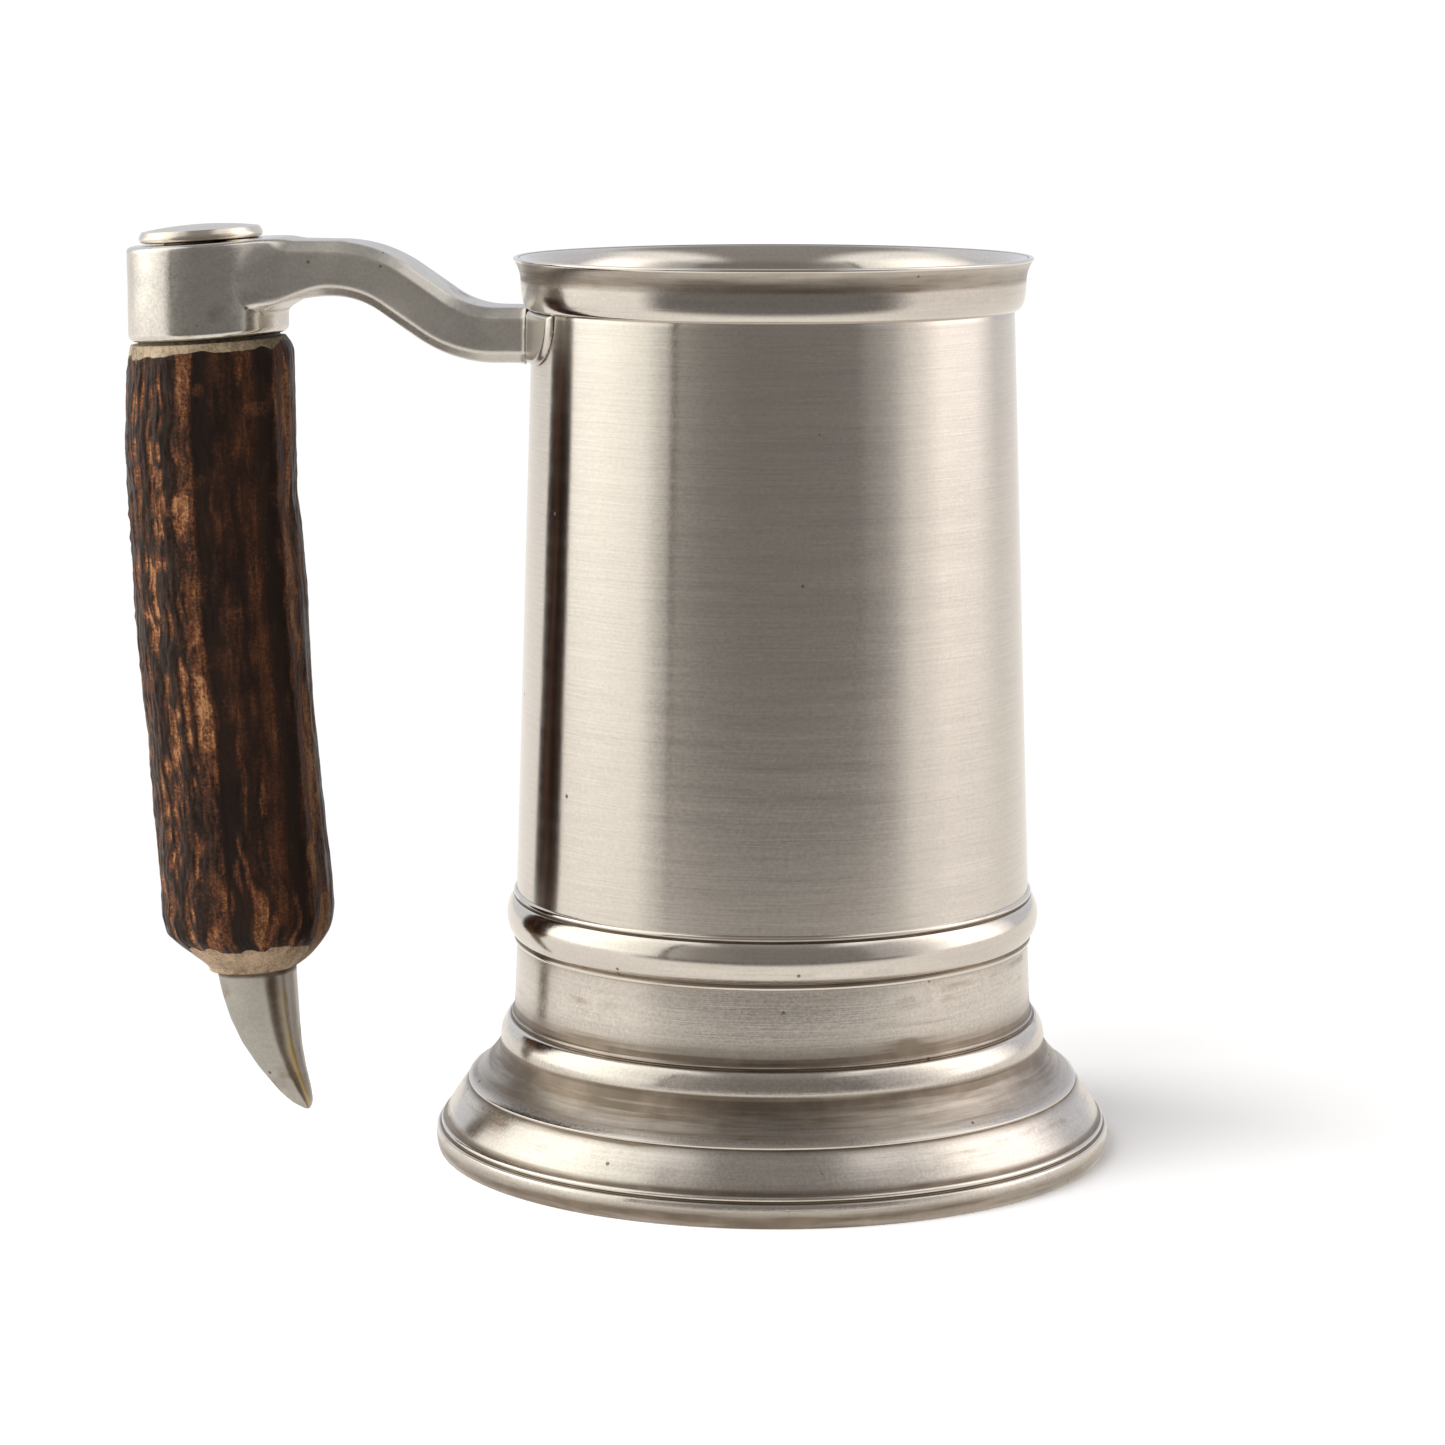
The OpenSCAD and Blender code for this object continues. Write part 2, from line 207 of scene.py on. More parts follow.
def lathe(name, points, slot, nodes, material, seg=360, closed=True, wobble=0.0, seed=1,
          transform=None, grime_and_shade=None, **dress):
    """Turn a profile of (r, z) millimetres round the axis. A closed profile runs counter-clockwise."""
    prof, hollow, proud, run = dress_profile(points, closed=closed, **dress)
    hollow = np.minimum(1.12 * hollow ** 0.82, 1.5)
    # extra hollow value from the caller: patina, less of it inside the mouth, and painted shade on the foot's bottom
    # edge
    if grime_and_shade is not None:
        hollow = np.clip(hollow + grime_and_shade(prof[:, 0], prof[:, 1]), 0, 1.5)
    m = len(prof)
    th = np.arange(seg) * 2 * math.pi / seg
    r = np.repeat(prof[:, :1], seg, 1)
    z = np.repeat(prof[:, 1:], seg, 1)
    if wobble:
        u = np.repeat(th[None, :], m, 0) / (2 * math.pi)
        w = (value_noise(u * 9, z / 17.0, 9, seed) - 0.5) + 0.5 * (
            value_noise(u * 23, z / 7.0, 23, seed + 1) - 0.5)
        r = r + wobble * w
    poles = []
    if not closed:
        if prof[0, 0] < 0.02:
            poles.append(0)
        if prof[-1, 0] < 0.02:
            poles.append(m - 1)
    x, y = r * np.cos(th), r * np.sin(th)
    verts = np.stack([x, y, z], 2).reshape(-1, 3)
    idx = np.arange(m * seg).reshape(m, seg)
    nxt = np.roll(idx, -1, 1)
    rows = range(m) if closed else range(m - 1)
    quads, tris = [], []
    for i in rows:
        k = (i + 1) % m
        if i in poles:
            tris.append(np.stack([idx[i, :1].repeat(seg), nxt[k], idx[k]], 1))
        elif k in poles:
            tris.append(np.stack([idx[i], nxt[i], idx[k, :1].repeat(seg)], 1))
        else:
            quads.append(np.stack([idx[i], nxt[i], nxt[k], idx[k]], 1))
    quads = np.concatenate(quads)
    tris = np.concatenate(tris) if tris else np.zeros((0, 3), int)
    attrs = {
        "hollow": np.repeat(hollow, seg),
        "proud": np.repeat(proud, seg),
        "run": np.repeat(run * MM, seg),
    }
    if poles:  # one vertex at each pole
        used = np.unique(np.concatenate([quads.ravel(), tris.ravel()]))
        back = np.full(m * seg, -1)
        back[used] = np.arange(len(used))
        verts, quads, tris = verts[used], back[quads], back[tris]
        attrs = {k: v[used] for k, v in attrs.items()}
        for v_i in (0, len(verts) - 1):
            if np.hypot(*verts[v_i, :2]) < 0.05:
                verts[v_i, :2] = 0
    if transform is not None:
        verts = transform(verts)
    return new_piece(name, verts, quads, tris, attrs, nodes, material)


# ------------------------------------------------------- distance-field meshing


def rmax(a, b, r):
    """Intersection of two fields with its edge rounded to radius r."""
    return (np.hypot(np.maximum(a + r, 0), np.maximum(b + r, 0)) - r
            + np.minimum(np.maximum(a, b) + r, 0))


def rmin(a, b, r):
    """Union of two fields with a fillet of radius r."""
    return -rmax(-a, -b, r)


def net(field, low, high, step):
    """Quad mesh of field = 0 by surface nets, each point then moved on to the surface."""
    low, high = np.array(low, float), np.array(high, float)
    n = np.ceil((high - low) / step).astype(int) + 1
    ax = [low[i] + step * np.arange(n[i]) for i in range(3)]
    f = np.empty(n)
    for i in range(n[0]):
        gy, gz = np.meshgrid(ax[1], ax[2], indexing="ij")
        f[i] = field(np.full_like(gy, ax[0][i]), gy, gz)
    s = f < 0
    cell = np.zeros(n - 1, bool)
    total = np.zeros(n - 1, np.int8)
    for dx in (0, 1):
        for dy in (0, 1):
            for dz in (0, 1):
                total += s[dx:n[0] - 1 + dx, dy:n[1] - 1 + dy, dz:n[2] - 1 + dz]
    cell = (total > 0) & (total < 8)
    ids = np.full(n - 1, -1)
    cells = np.argwhere(cell)
    ids[cell] = np.arange(len(cells))
    acc = np.zeros((len(cells), 3))
    cnt = np.zeros(len(cells))
    corners = [(a, b, c) for a in (0, 1) for b in (0, 1) for c in (0, 1)]
    for a in corners:
        for b in corners:
            if a < b and sum(abs(p - q) for p, q in zip(a, b)) == 1:
                fa = f[cells[:, 0] + a[0], cells[:, 1] + a[1], cells[:, 2] + a[2]]
                fb = f[cells[:, 0] + b[0], cells[:, 1] + b[1], cells[:, 2] + b[2]]
                hit = (fa < 0) != (fb < 0)
                t = np.where(hit, fa / np.where(hit, fa - fb, 1), 0)
                pa, pb = np.array(a, float), np.array(b, float)
                acc += np.where(hit[:, None], pa + (pb - pa) * t[:, None], 0)
                cnt += hit
    pts = low + step * (cells + acc / cnt[:, None])
    for _ in range(4):
        e = 0.02
        v = field(*pts.T)
        g = np.stack([
            field(pts[:, 0] + e, pts[:, 1], pts[:, 2]) - field(pts[:, 0] - e, pts[:, 1], pts[:, 2]),
            field(pts[:, 0], pts[:, 1] + e, pts[:, 2]) - field(pts[:, 0], pts[:, 1] - e, pts[:, 2]),
            field(pts[:, 0], pts[:, 1], pts[:, 2] + e) - field(pts[:, 0], pts[:, 1], pts[:, 2] - e),
        ], 1) / (2 * e)
        gg = (g * g).sum(1)
        move = -(v / np.maximum(gg, 0.2))[:, None] * g
        length = np.linalg.norm(move, axis=1)
        pts += move * np.minimum(1, 0.6 * step / np.maximum(length, 1e-9))[:, None]
    quads = []
    for axis in range(3):
        o = [i for i in range(3) if i != axis]
        sl0 = [slice(None)] * 3
        sl1 = [slice(None)] * 3
        sl0[axis], sl1[axis] = slice(0, -1), slice(1, None)
        for i in o:
            sl0[i] = sl1[i] = slice(1, -1)
        a, b = s[tuple(sl0)], s[tuple(sl1)]
        for flip, hit in ((False, a & ~b), (True, ~a & b)):
            where = np.argwhere(hit)
            if not len(where):
                continue
            base = where.copy()
            base[:, o[0]] += 1
            base[:, o[1]] += 1
            def cid(d0, d1):
                c = base.copy()
                c[:, o[0]] += d0
                c[:, o[1]] += d1
                return ids[c[:, 0], c[:, 1], c[:, 2]]
            q = np.stack([cid(-1, -1), cid(0, -1), cid(0, 0), cid(-1, 0)], 1)
            if flip != (axis == 1):
                q = q[:, ::-1]
            quads.append(q)
    return pts, np.concatenate(quads)


def hollow_of(field, pts, reach):
    """How hollow the surface is round each point, from the field one reach out along the normal."""
    e = 0.05
    g = np.stack([
        field(pts[:, 0] + e, pts[:, 1], pts[:, 2]) - field(pts[:, 0] - e, pts[:, 1], pts[:, 2]),
        field(pts[:, 0], pts[:, 1] + e, pts[:, 2]) - field(pts[:, 0], pts[:, 1] - e, pts[:, 2]),
        field(pts[:, 0], pts[:, 1], pts[:, 2] + e) - field(pts[:, 0], pts[:, 1], pts[:, 2] - e),
    ], 1)
    g /= np.linalg.norm(g, axis=1)[:, None] + 1e-9
    out = field(*(pts + g * reach).T)
    return np.clip(1 - out / reach, 0, 1), g


# ------------------------------------------------------------------ dimensions
# The same design sizes as the CAD part, in millimetres.
RIM_Z, COLLAR_Z, JOINT_Z, FLOOR_Z = 143.8, 135.4, 38.2, 21.7
TAPER = (41.5 - 38.25) / (COLLAR_Z - JOINT_Z)


def barrel_r(z):
    return 41.5 - TAPER * (z - JOINT_Z)


BOSS = np.array([-92.15, 0.0, 130.1])
LEAN = rad(3.7)
CL, SL = math.cos(LEAN), math.sin(LEAN)


def from_handle(v):
    """Points in the handle's leaning frame to the row frame."""
    v = np.asarray(v, float)
    return np.stack([
        BOSS[0] + v[:, 0] * CL - v[:, 2] * SL,
        v[:, 1],
        BOSS[2] + v[:, 0] * SL + v[:, 2] * CL,
    ], 1)


def to_handle(x, z):
    dx, dz = x - BOSS[0], z - BOSS[2]
    return dx * CL + dz * SL, -dx * SL + dz * CL


# ------------------------------------------------------------------ materials


class Nodes:
    def __init__(self, tree):
        self.t = tree
        tree.nodes.clear()

    def add(self, kind, **props):
        n = self.t.nodes.new(kind)
        for k, v in props.items():
            setattr(n, k, v)
        return n

    def put(self, socket, value):
        if isinstance(value, bpy.types.NodeSocket):
            self.t.links.new(value, socket)
        elif value is not None:
            socket.default_value = value

    def math(self, op, a, b=None, c=None, clamp=False):
        n = self.add("ShaderNodeMath", operation=op, use_clamp=clamp)
        for i, v in enumerate((a, b, c)):
            self.put(n.inputs[i], v)
        return n.outputs[0]

    def vec(self, x, y, z):
        n = self.add("ShaderNodeCombineXYZ")
        for i, v in enumerate((x, y, z)):
            self.put(n.inputs[i], v)
        return n.outputs[0]

    def attr(self, name):
        return self.add("ShaderNodeAttribute", attribute_name=name).outputs["Fac"]

    def noise(self, vector, scale, detail=2.0, rough=0.5, distort=0.0):
        n = self.add("ShaderNodeTexNoise")
        self.put(n.inputs["Vector"], vector)
        n.inputs["Scale"].default_value = scale
        n.inputs["Detail"].default_value = detail
        n.inputs["Roughness"].default_value = rough
        n.inputs["Distortion"].default_value = distort
        return n.outputs["Fac"]

    def remap(self, v, a, b, c=0.0, d=1.0, smooth=True):
        n = self.add("ShaderNodeMapRange", clamp=True)
        n.interpolation_type = "SMOOTHSTEP" if smooth else "LINEAR"
        self.put(n.inputs["Value"], v)
        n.inputs["From Min"].default_value = a
        n.inputs["From Max"].default_value = b
        n.inputs["To Min"].default_value = c
        n.inputs["To Max"].default_value = d
        return n.outputs["Result"]

    def mix(self, fac, a, b, mode="MIX"):
        n = self.add("ShaderNodeMix", data_type="RGBA", blend_type=mode)
        self.put(n.inputs[0], fac)
        self.put(n.inputs[6], a if isinstance(a, bpy.types.NodeSocket) else (*a, 1))
        self.put(n.inputs[7], b if isinstance(b, bpy.types.NodeSocket) else (*b, 1))
        return n.outputs[2]

    def coords(self):
        sep = self.add("ShaderNodeSeparateXYZ")
        tc = self.add("ShaderNodeTexCoord")
        self.t.links.new(tc.outputs["Object"], sep.inputs[0])
        return tc.outputs["Object"], sep.outputs


def pewter(name, base=(0.645, 0.600, 0.545), rough=0.30, aniso=0.0, lathe_lines=True,
           lines=1.0, patina=1.0, pits=0.5, blotch=1.0, mottle=0.5, gold_glint=False):
    """Satin pewter: brushing along the turning, brown patina in hollows, brighter edges, small pits. Hollow and proud
    values that a piece paints as shade or highlight darken or lighten it the same way, and a golden streak can be
    added as painted highlight.
    """
    m = bpy.data.materials.new(name)
    m.use_nodes = True
    k = Nodes(m.node_tree)
    out = k.add("ShaderNodeOutputMaterial")
    bsdf = k.add("ShaderNodeBsdfPrincipled")
    k.t.links.new(bsdf.outputs[0], out.inputs[0])
    obj, (x, y, z) = k.coords()
    if lathe_lines:
        run = k.attr("run")
        along = k.vec(k.math("MULTIPLY", x, 55), k.math("MULTIPLY", y, 55),
                      k.math("MULTIPLY", run, 3300))
        along2 = k.vec(k.math("MULTIPLY", x, 130), k.math("MULTIPLY", y, 130),
                       k.math("MULTIPLY", run, 9000))
        broad = k.vec(k.math("MULTIPLY", x, 26), k.math("MULTIPLY", y, 26),
                      k.math("MULTIPLY", run, 420))
    else:
        along = k.vec(k.math("MULTIPLY", x, 300), k.math("MULTIPLY", y, 2600),
                      k.math("MULTIPLY", z, 2600))
        along2 = k.vec(k.math("MULTIPLY", x, 1500), k.math("MULTIPLY", y, 5200),
                       k.math("MULTIPLY", z, 5200))
        broad = k.vec(k.math("MULTIPLY", x, 90), k.math("MULTIPLY", y, 160),
                      k.math("MULTIPLY", z, 160))
    line = k.noise(along, 1.0, 3.0, 0.6)
    hair = k.noise(along2, 1.0, 2.0, 0.6)
    cloud = k.noise(broad, 1.0, 4.0, 0.62)
    spot = k.noise(obj, 95.0, 5.0, 0.62, 0.4)
    grain = k.noise(obj, 1900.0, 3.0, 0.7)
    hollow = k.attr("hollow")
    proud = k.attr("proud")
    # patina gathers in the hollows, broken up by the cloud; where a piece's hollow value is painted shade (the foot's
    # bottom edge, the claw's crease) it darkens here the same way
    stain_and_shade = k.math("MULTIPLY", hollow, k.remap(cloud, 0.25, 0.7, 0.75, 1.35))
    stain_and_shade = k.math("MULTIPLY", k.math("POWER", k.math("MINIMUM", stain_and_shade, 1.4), 1.15), 0.72 * patina)
    halo = k.math("MULTIPLY", k.remap(hollow, 0.0, 0.34), k.remap(cloud, 0.3, 0.68, 0.3, 1.0))
    stain_and_shade = k.math("ADD", stain_and_shade, k.math("MULTIPLY", halo, 0.20 * patina))
    haze = k.math("MULTIPLY", k.remap(cloud, 0.5, 0.78), k.remap(spot, 0.42, 0.66))
    haze = k.math("MULTIPLY", haze, 0.34 * blotch)
    dirt_and_shade = k.math("MINIMUM", k.math("ADD", stain_and_shade, haze), 0.93)
    streak = k.math("ADD", k.math("MULTIPLY", k.math("SUBTRACT", line, 0.5), 0.22 * lines),
                    k.math("MULTIPLY", k.math("SUBTRACT", hair, 0.5), 0.18 * lines))
    streak = k.math("ADD", streak, k.math("MULTIPLY", k.math("SUBTRACT", grain, 0.5), 0.45 * mottle))
    streak = k.math("ADD", streak, k.math("MULTIPLY", k.math("SUBTRACT", cloud, 0.5), 0.20 * blotch))
    light = tuple(min(1, c * 1.13) for c in base)
    dark = tuple(c * 0.83 for c in base)
    metal = k.mix(k.remap(k.math("ADD", streak, 0.5), 0.36, 0.64, smooth=False), dark, light)
    # lighter where proud: rubbed raised edges, and on the claw's broad right-hand strip painted highlight
    metal = k.mix(k.math("MULTIPLY", k.math("MINIMUM", proud, 1.0), 0.55), metal,
                  tuple(min(1, c * 1.2) for c in base))
    brown = k.mix(k.remap(spot, 0.35, 0.7), (0.155, 0.118, 0.085), (0.26, 0.205, 0.155))
    colour = k.mix(dirt_and_shade, metal, brown)
    if gold_glint:  # a golden streak, broken up: painted highlight
        patchy = k.math("MULTIPLY", k.attr("gold_glint"), k.remap(spot, 0.35, 0.6, 0.35, 1.0))
        colour = k.mix(patchy, colour, (0.50, 0.355, 0.155))
    # pits: rare dark specks
    vor = k.add("ShaderNodeTexVoronoi", feature="F1")
    k.put(vor.inputs["Vector"], obj)
    vor.inputs["Scale"].default_value = 420.0
    vor.inputs["Randomness"].default_value = 1.0
    sepc = k.add("ShaderNodeSeparateColor")
    k.t.links.new(vor.outputs["Color"], sepc.inputs[0])
    pit = k.math("MULTIPLY", k.remap(vor.outputs["Distance"], 0.09, 0.17, 1.0, 0.0),
                 k.math("GREATER_THAN", sepc.outputs[0], 1 - 0.035 * pits))
    colour = k.mix(k.math("MULTIPLY", pit, 0.75), colour, (0.09, 0.075, 0.06))
    k.put(bsdf.inputs["Base Color"], colour)
    bsdf.inputs["Metallic"].default_value = 1.0
    r = k.math("ADD", k.math("MULTIPLY", k.math("SUBTRACT", cloud, 0.5), 0.12), rough)
    r = k.math("ADD", r, k.math("MULTIPLY", k.math("SUBTRACT", grain, 0.5), 0.16 * mottle))
    r = k.math("ADD", r, k.math("MULTIPLY", dirt_and_shade, 0.26))
    r = k.math("SUBTRACT", r, k.math("MULTIPLY", k.math("MINIMUM", proud, 1.0), 0.07))
    k.put(bsdf.inputs["Roughness"], k.math("ADD", r, k.math("MULTIPLY", pit, 0.2), clamp=True))
    if aniso:
        bsdf.inputs["Anisotropic"].default_value = aniso
        bsdf.inputs["Anisotropic Rotation"].default_value = 0.25
        tan = k.add("ShaderNodeTangent", direction_type="RADIAL", axis="Z")
        k.t.links.new(tan.outputs[0], bsdf.inputs["Tangent"])
    height = k.math("ADD", k.math("MULTIPLY", line, 0.65 * lines),
                    k.math("MULTIPLY", hair, 0.3 * lines))
    height = k.math("ADD", height, k.math("MULTIPLY", grain, 0.12 + 0.5 * mottle))
    height = k.math("ADD", height, k.math("MULTIPLY", spot, 0.8))
    height = k.math("SUBTRACT", height, k.math("MULTIPLY", pit, 1.6))
    bump = k.add("ShaderNodeBump")
    bump.inputs["Strength"].default_value = 0.35
    bump.inputs["Distance"].default_value = 0.000035
    k.put(bump.inputs["Height"], height)
    k.t.links.new(bump.outputs[0], bsdf.inputs["Normal"])
    return m


def antler():
    """Stag antler: near-black polished ridges over tan, porous valleys, cream where it is cut."""
    m = bpy.data.materials.new("antler_bark")
    m.use_nodes = True
    k = Nodes(m.node_tree)
    out = k.add("ShaderNodeOutputMaterial")
    bsdf = k.add("ShaderNodeBsdfPrincipled")
    k.t.links.new(bsdf.outputs[0], out.inputs[0])
    obj, (x, y, z) = k.coords()
    tan, cut, rust = k.attr("tan"), k.attr("cut"), k.attr("rust")
    fibre = k.noise(k.vec(k.math("MULTIPLY", x, 1500), k.math("MULTIPLY", y, 1500),
                          k.math("MULTIPLY", z, 190)), 1.0, 4.0, 0.65, 0.3)
    pore = k.noise(obj, 2100.0, 4.0, 0.7)
    cross = k.noise(k.vec(k.math("MULTIPLY", x, 600), k.math("MULTIPLY", y, 600),
                          k.math("MULTIPLY", z, 1500)), 1.0, 3.0, 0.6, 0.6)
    blot = k.noise(k.vec(k.math("MULTIPLY", x, 260), k.math("MULTIPLY", y, 260),
                         k.math("MULTIPLY", z, 90)), 1.0, 4.0, 0.6, 0.5)
    # the tan comes from the carved height, broken up by pores and fibres
    loose = k.math("ADD", k.math("MULTIPLY", tan, 1.3), 0.35)
    f = k.math("MULTIPLY", k.math("SUBTRACT", pore, 0.5), 1.25)
    f = k.math("ADD", f, k.math("MULTIPLY", k.math("SUBTRACT", fibre, 0.5), 0.85))
    f = k.math("ADD", f, k.math("MULTIPLY", k.math("SUBTRACT", cross, 0.5), 0.45))
    f = k.math("ADD", tan, k.math("MULTIPLY", f, loose))
    f = k.math("ADD", f, k.math("MULTIPLY", rust, 0.10))
    bark = k.add("ShaderNodeValToRGB")
    k.put(bark.inputs[0], f)
    e = bark.color_ramp.elements
    for at, col in ((0.10, (0.0090, 0.0054, 0.0040)), (0.22, (0.0185, 0.0088, 0.0052)),
                    (0.34, (0.038, 0.0145, 0.0070)), (0.50, (0.082, 0.029, 0.0108)),
                    (0.68, (0.128, 0.051, 0.0195)), (0.86, (0.205, 0.103, 0.046))):
        p = e[0] if at == 0.10 else (e[-1] if at == 0.86 else e.new(at))
        p.position = at
        p.color = (*col, 1)
    colour = k.mix(k.math("MULTIPLY", rust, 0.35), bark.outputs["Color"], (0.062, 0.021, 0.0088))
    f = k.remap(f, 0.25, 0.65)
    patchy = k.remap(k.math("ADD", pore, blot), 0.7, 1.25)
    cream = k.mix(k.remap(z, 0.03, 0.12), k.mix(patchy, (0.130, 0.083, 0.048), (0.335, 0.238, 0.152)),
                  k.mix(patchy, (0.090, 0.069, 0.041), (0.255, 0.198, 0.130)))
    c = k.math("ADD", cut, k.math("MULTIPLY", k.math("SUBTRACT", blot, 0.5), 0.8))
    c = k.math("ADD", c, k.math("MULTIPLY", k.math("SUBTRACT", fibre, 0.5), 0.5))
    c = k.remap(c, 0.36, 0.62)
    colour = k.mix(c, colour, cream)
    k.put(bsdf.inputs["Base Color"], colour)
    bsdf.inputs["IOR"].default_value = 1.5
    rough = k.math("ADD", k.math("MULTIPLY", f, 0.20), 0.36)
    rough = k.math("ADD", rough, k.math("MULTIPLY", k.math("SUBTRACT", pore, 0.5), 0.14))
    rough = k.math("ADD", rough, k.math("MULTIPLY", c, 0.16), clamp=True)
    k.put(bsdf.inputs["Roughness"], rough)
    bsdf.inputs["Specular IOR Level"].default_value = 0.11
    h = k.math("ADD", k.math("MULTIPLY", fibre, 0.55), k.math("MULTIPLY", pore, 0.35))
    h = k.math("MULTIPLY", h, k.math("ADD", k.math("MULTIPLY", f, 0.9), 0.35))
    bump = k.add("ShaderNodeBump")
    bump.inputs["Strength"].default_value = 0.75
    bump.inputs["Distance"].default_value = 0.00028
    k.put(bump.inputs["Height"], h)
    k.t.links.new(bump.outputs[0], bsdf.inputs["Normal"])
    return m


def steel(name):
    m = bpy.data.materials.new(name)
    m.use_nodes = True
    k = Nodes(m.node_tree)
    out = k.add("ShaderNodeOutputMaterial")
    bsdf = k.add("ShaderNodeBsdfPrincipled")
    k.t.links.new(bsdf.outputs[0], out.inputs[0])
    obj, _ = k.coords()
    n = k.noise(obj, 900.0, 4.0, 0.6)
    k.put(bsdf.inputs["Base Color"], k.mix(k.remap(n, 0.3, 0.7), (0.40, 0.39, 0.38), (0.56, 0.56, 0.57)))
    bsdf.inputs["Metallic"].default_value = 1.0
    k.put(bsdf.inputs["Roughness"], k.remap(n, 0.2, 0.8, 0.28, 0.46))
    bump = k.add("ShaderNodeBump")
    bump.inputs["Strength"].default_value = 0.3
    bump.inputs["Distance"].default_value = 0.00005
    k.put(bump.inputs["Height"], n)
    k.t.links.new(bump.outputs[0], bsdf.inputs["Normal"])
    return m


def fibre_board():
    m = bpy.data.materials.new("seat_fibre")
    m.use_nodes = True
    k = Nodes(m.node_tree)
    out = k.add("ShaderNodeOutputMaterial")
    bsdf = k.add("ShaderNodeBsdfPrincipled")
    k.t.links.new(bsdf.outputs[0], out.inputs[0])
    obj, _ = k.coords()
    n = k.noise(obj, 1100.0, 4.0, 0.65)
    k.put(bsdf.inputs["Base Color"], k.mix(k.remap(n, 0.3, 0.7), (0.014, 0.011, 0.006), (0.085, 0.062, 0.024)))
    k.put(bsdf.inputs["Roughness"], k.remap(n, 0.2, 0.8, 0.45, 0.75))
    bump = k.add("ShaderNodeBump")
    bump.inputs["Strength"].default_value = 0.5
    bump.inputs["Distance"].default_value = 0.0001
    k.put(bump.inputs["Height"], n)
    k.t.links.new(bump.outputs[0], bsdf.inputs["Normal"])
    return m


M_BARREL = pewter("pewter_satin_barrel", rough=0.19, aniso=0.96, lines=1.0, patina=0.9, pits=0.35,
                  blotch=0.35)
M_MOULD = pewter("pewter_turned_moulding", rough=0.15, aniso=0.4, lines=0.7, patina=1.5, pits=0.8,
                 blotch=1.8, mottle=0.7)
M_FOOT = pewter("pewter_turned_foot", rough=0.19, aniso=0.5, lines=1.1, patina=1.7, pits=1.2,
                blotch=2.6, mottle=1.3)
M_FLOOR = pewter("pewter_floor", rough=0.33, aniso=0.3, lines=1.2, patina=0.8, pits=0.8, blotch=1.2)
M_ARM = pewter("pewter_cast_arm", base=(0.70, 0.668, 0.615), rough=0.15, lathe_lines=False, lines=0.3,
               patina=1.3, pits=2.6, blotch=2.4, mottle=0.9)
M_PAD = pewter("pewter_saddle", rough=0.24, lathe_lines=False, lines=0.25, patina=1.0, pits=0.5,
               blotch=0.6)
M_CAP = pewter("pewter_cap", base=(0.66, 0.60, 0.52), rough=0.25, lines=0.5, patina=1.0, pits=0.6)
M_CLAW = pewter("pewter_cast_claw", base=(0.44, 0.415, 0.375), rough=0.47, lathe_lines=False, lines=0.5,
                patina=1.5, pits=3.0, blotch=2.4, mottle=1.1, gold_glint=True)
M_ANTLER = antler()
M_STEEL = steel("stud_steel")
M_FIBRE = fibre_board()

# ------------------------------------------------------------------ vessel

# barrel: outside up, seat for the collar, inside down
barrel = ([(39.9, 38.2), (41.5, 38.2)]
          + [(barrel_r(z), z) for z in np.linspace(39.0, 135.3, 12)]
          + [(38.25, 135.4), (38.2, 135.4), (38.2, 137.5), (36.85, 137.5)]
          + [(36.85 + (39.9 - 36.85) * t, 137.5 + (38.2 - 137.5) * t) for t in np.linspace(0.01, 0.99, 10)])
lathe("barrel_shell", barrel, "pewter_brushed", ["barrel"], M_BARREL, seg=384, wobble=0.035,
      longest=1.1, soft=0.04, grime_and_shade=lambda r, z: -0.9 * ((z > 130) & (r < 39)))

# rim moulding: undercut, soft roll, hollow flare, rounded lip, trumpet inside
flare = [(45.9 + 5.85 * math.cos(t), 139.9 + 5.85 * math.sin(t))
         for t in np.radians(np.linspace(183.5, 146.6, 20))]
lip = [(41.2, 143.28), (41.24, 143.5), (41.1, 143.68), (40.85, 143.77), (40.6, 143.74), (40.4, 143.6)]
inner = [(42.45 + 5.6 * math.cos(t), 138.5 + 5.6 * math.sin(t))
         for t in np.radians(np.linspace(114.5, 180, 22))]
collar = ([(38.2, 137.5), (38.2, 135.42), (38.72, 135.42)]
          + curve_through([(38.72, 135.45), (39.22, 135.78), (39.58, 136.4), (39.8, 137.15),
                           (39.93, 138.1), (39.99, 138.9), (40.05, 139.55)], 6)
          + flare + lip + inner + [(36.85, 138.3), (36.85, 137.5)])
lathe("rim_moulding", collar, "pewter_polished", ["rim_collar"], M_MOULD, seg=384,
      longest=0.5, soft=0.05, wobble=0.012, seed=5, grime_and_shade=lambda r, z: -0.9 * ((z < 142) & (r < 38.3)))

# band with a bead above and below
band = ([(41.36, 38.2), (41.36, 33.9)]
        + arc(41.3, 34.35, 0.56, -70, 62, 14)
        + [(41.62, 35.06)]
        + arc_z(37.85, 38.2, 5.1, 35.12, 41.28, 1, 40)
        + [(41.62, 41.34)]
        + arc(41.35, 41.9, 0.52, -60, 72, 14)
        + [(barrel_r(42.5) + 0.01, 42.5), (barrel_r(40) + 0.01, 40), (41.51, 38.2)])
lathe("joint_band", band, "pewter_polished", ["mid_band"], M_MOULD, seg=384, longest=0.5,
      soft=0.045, wobble=0.012, seed=7)

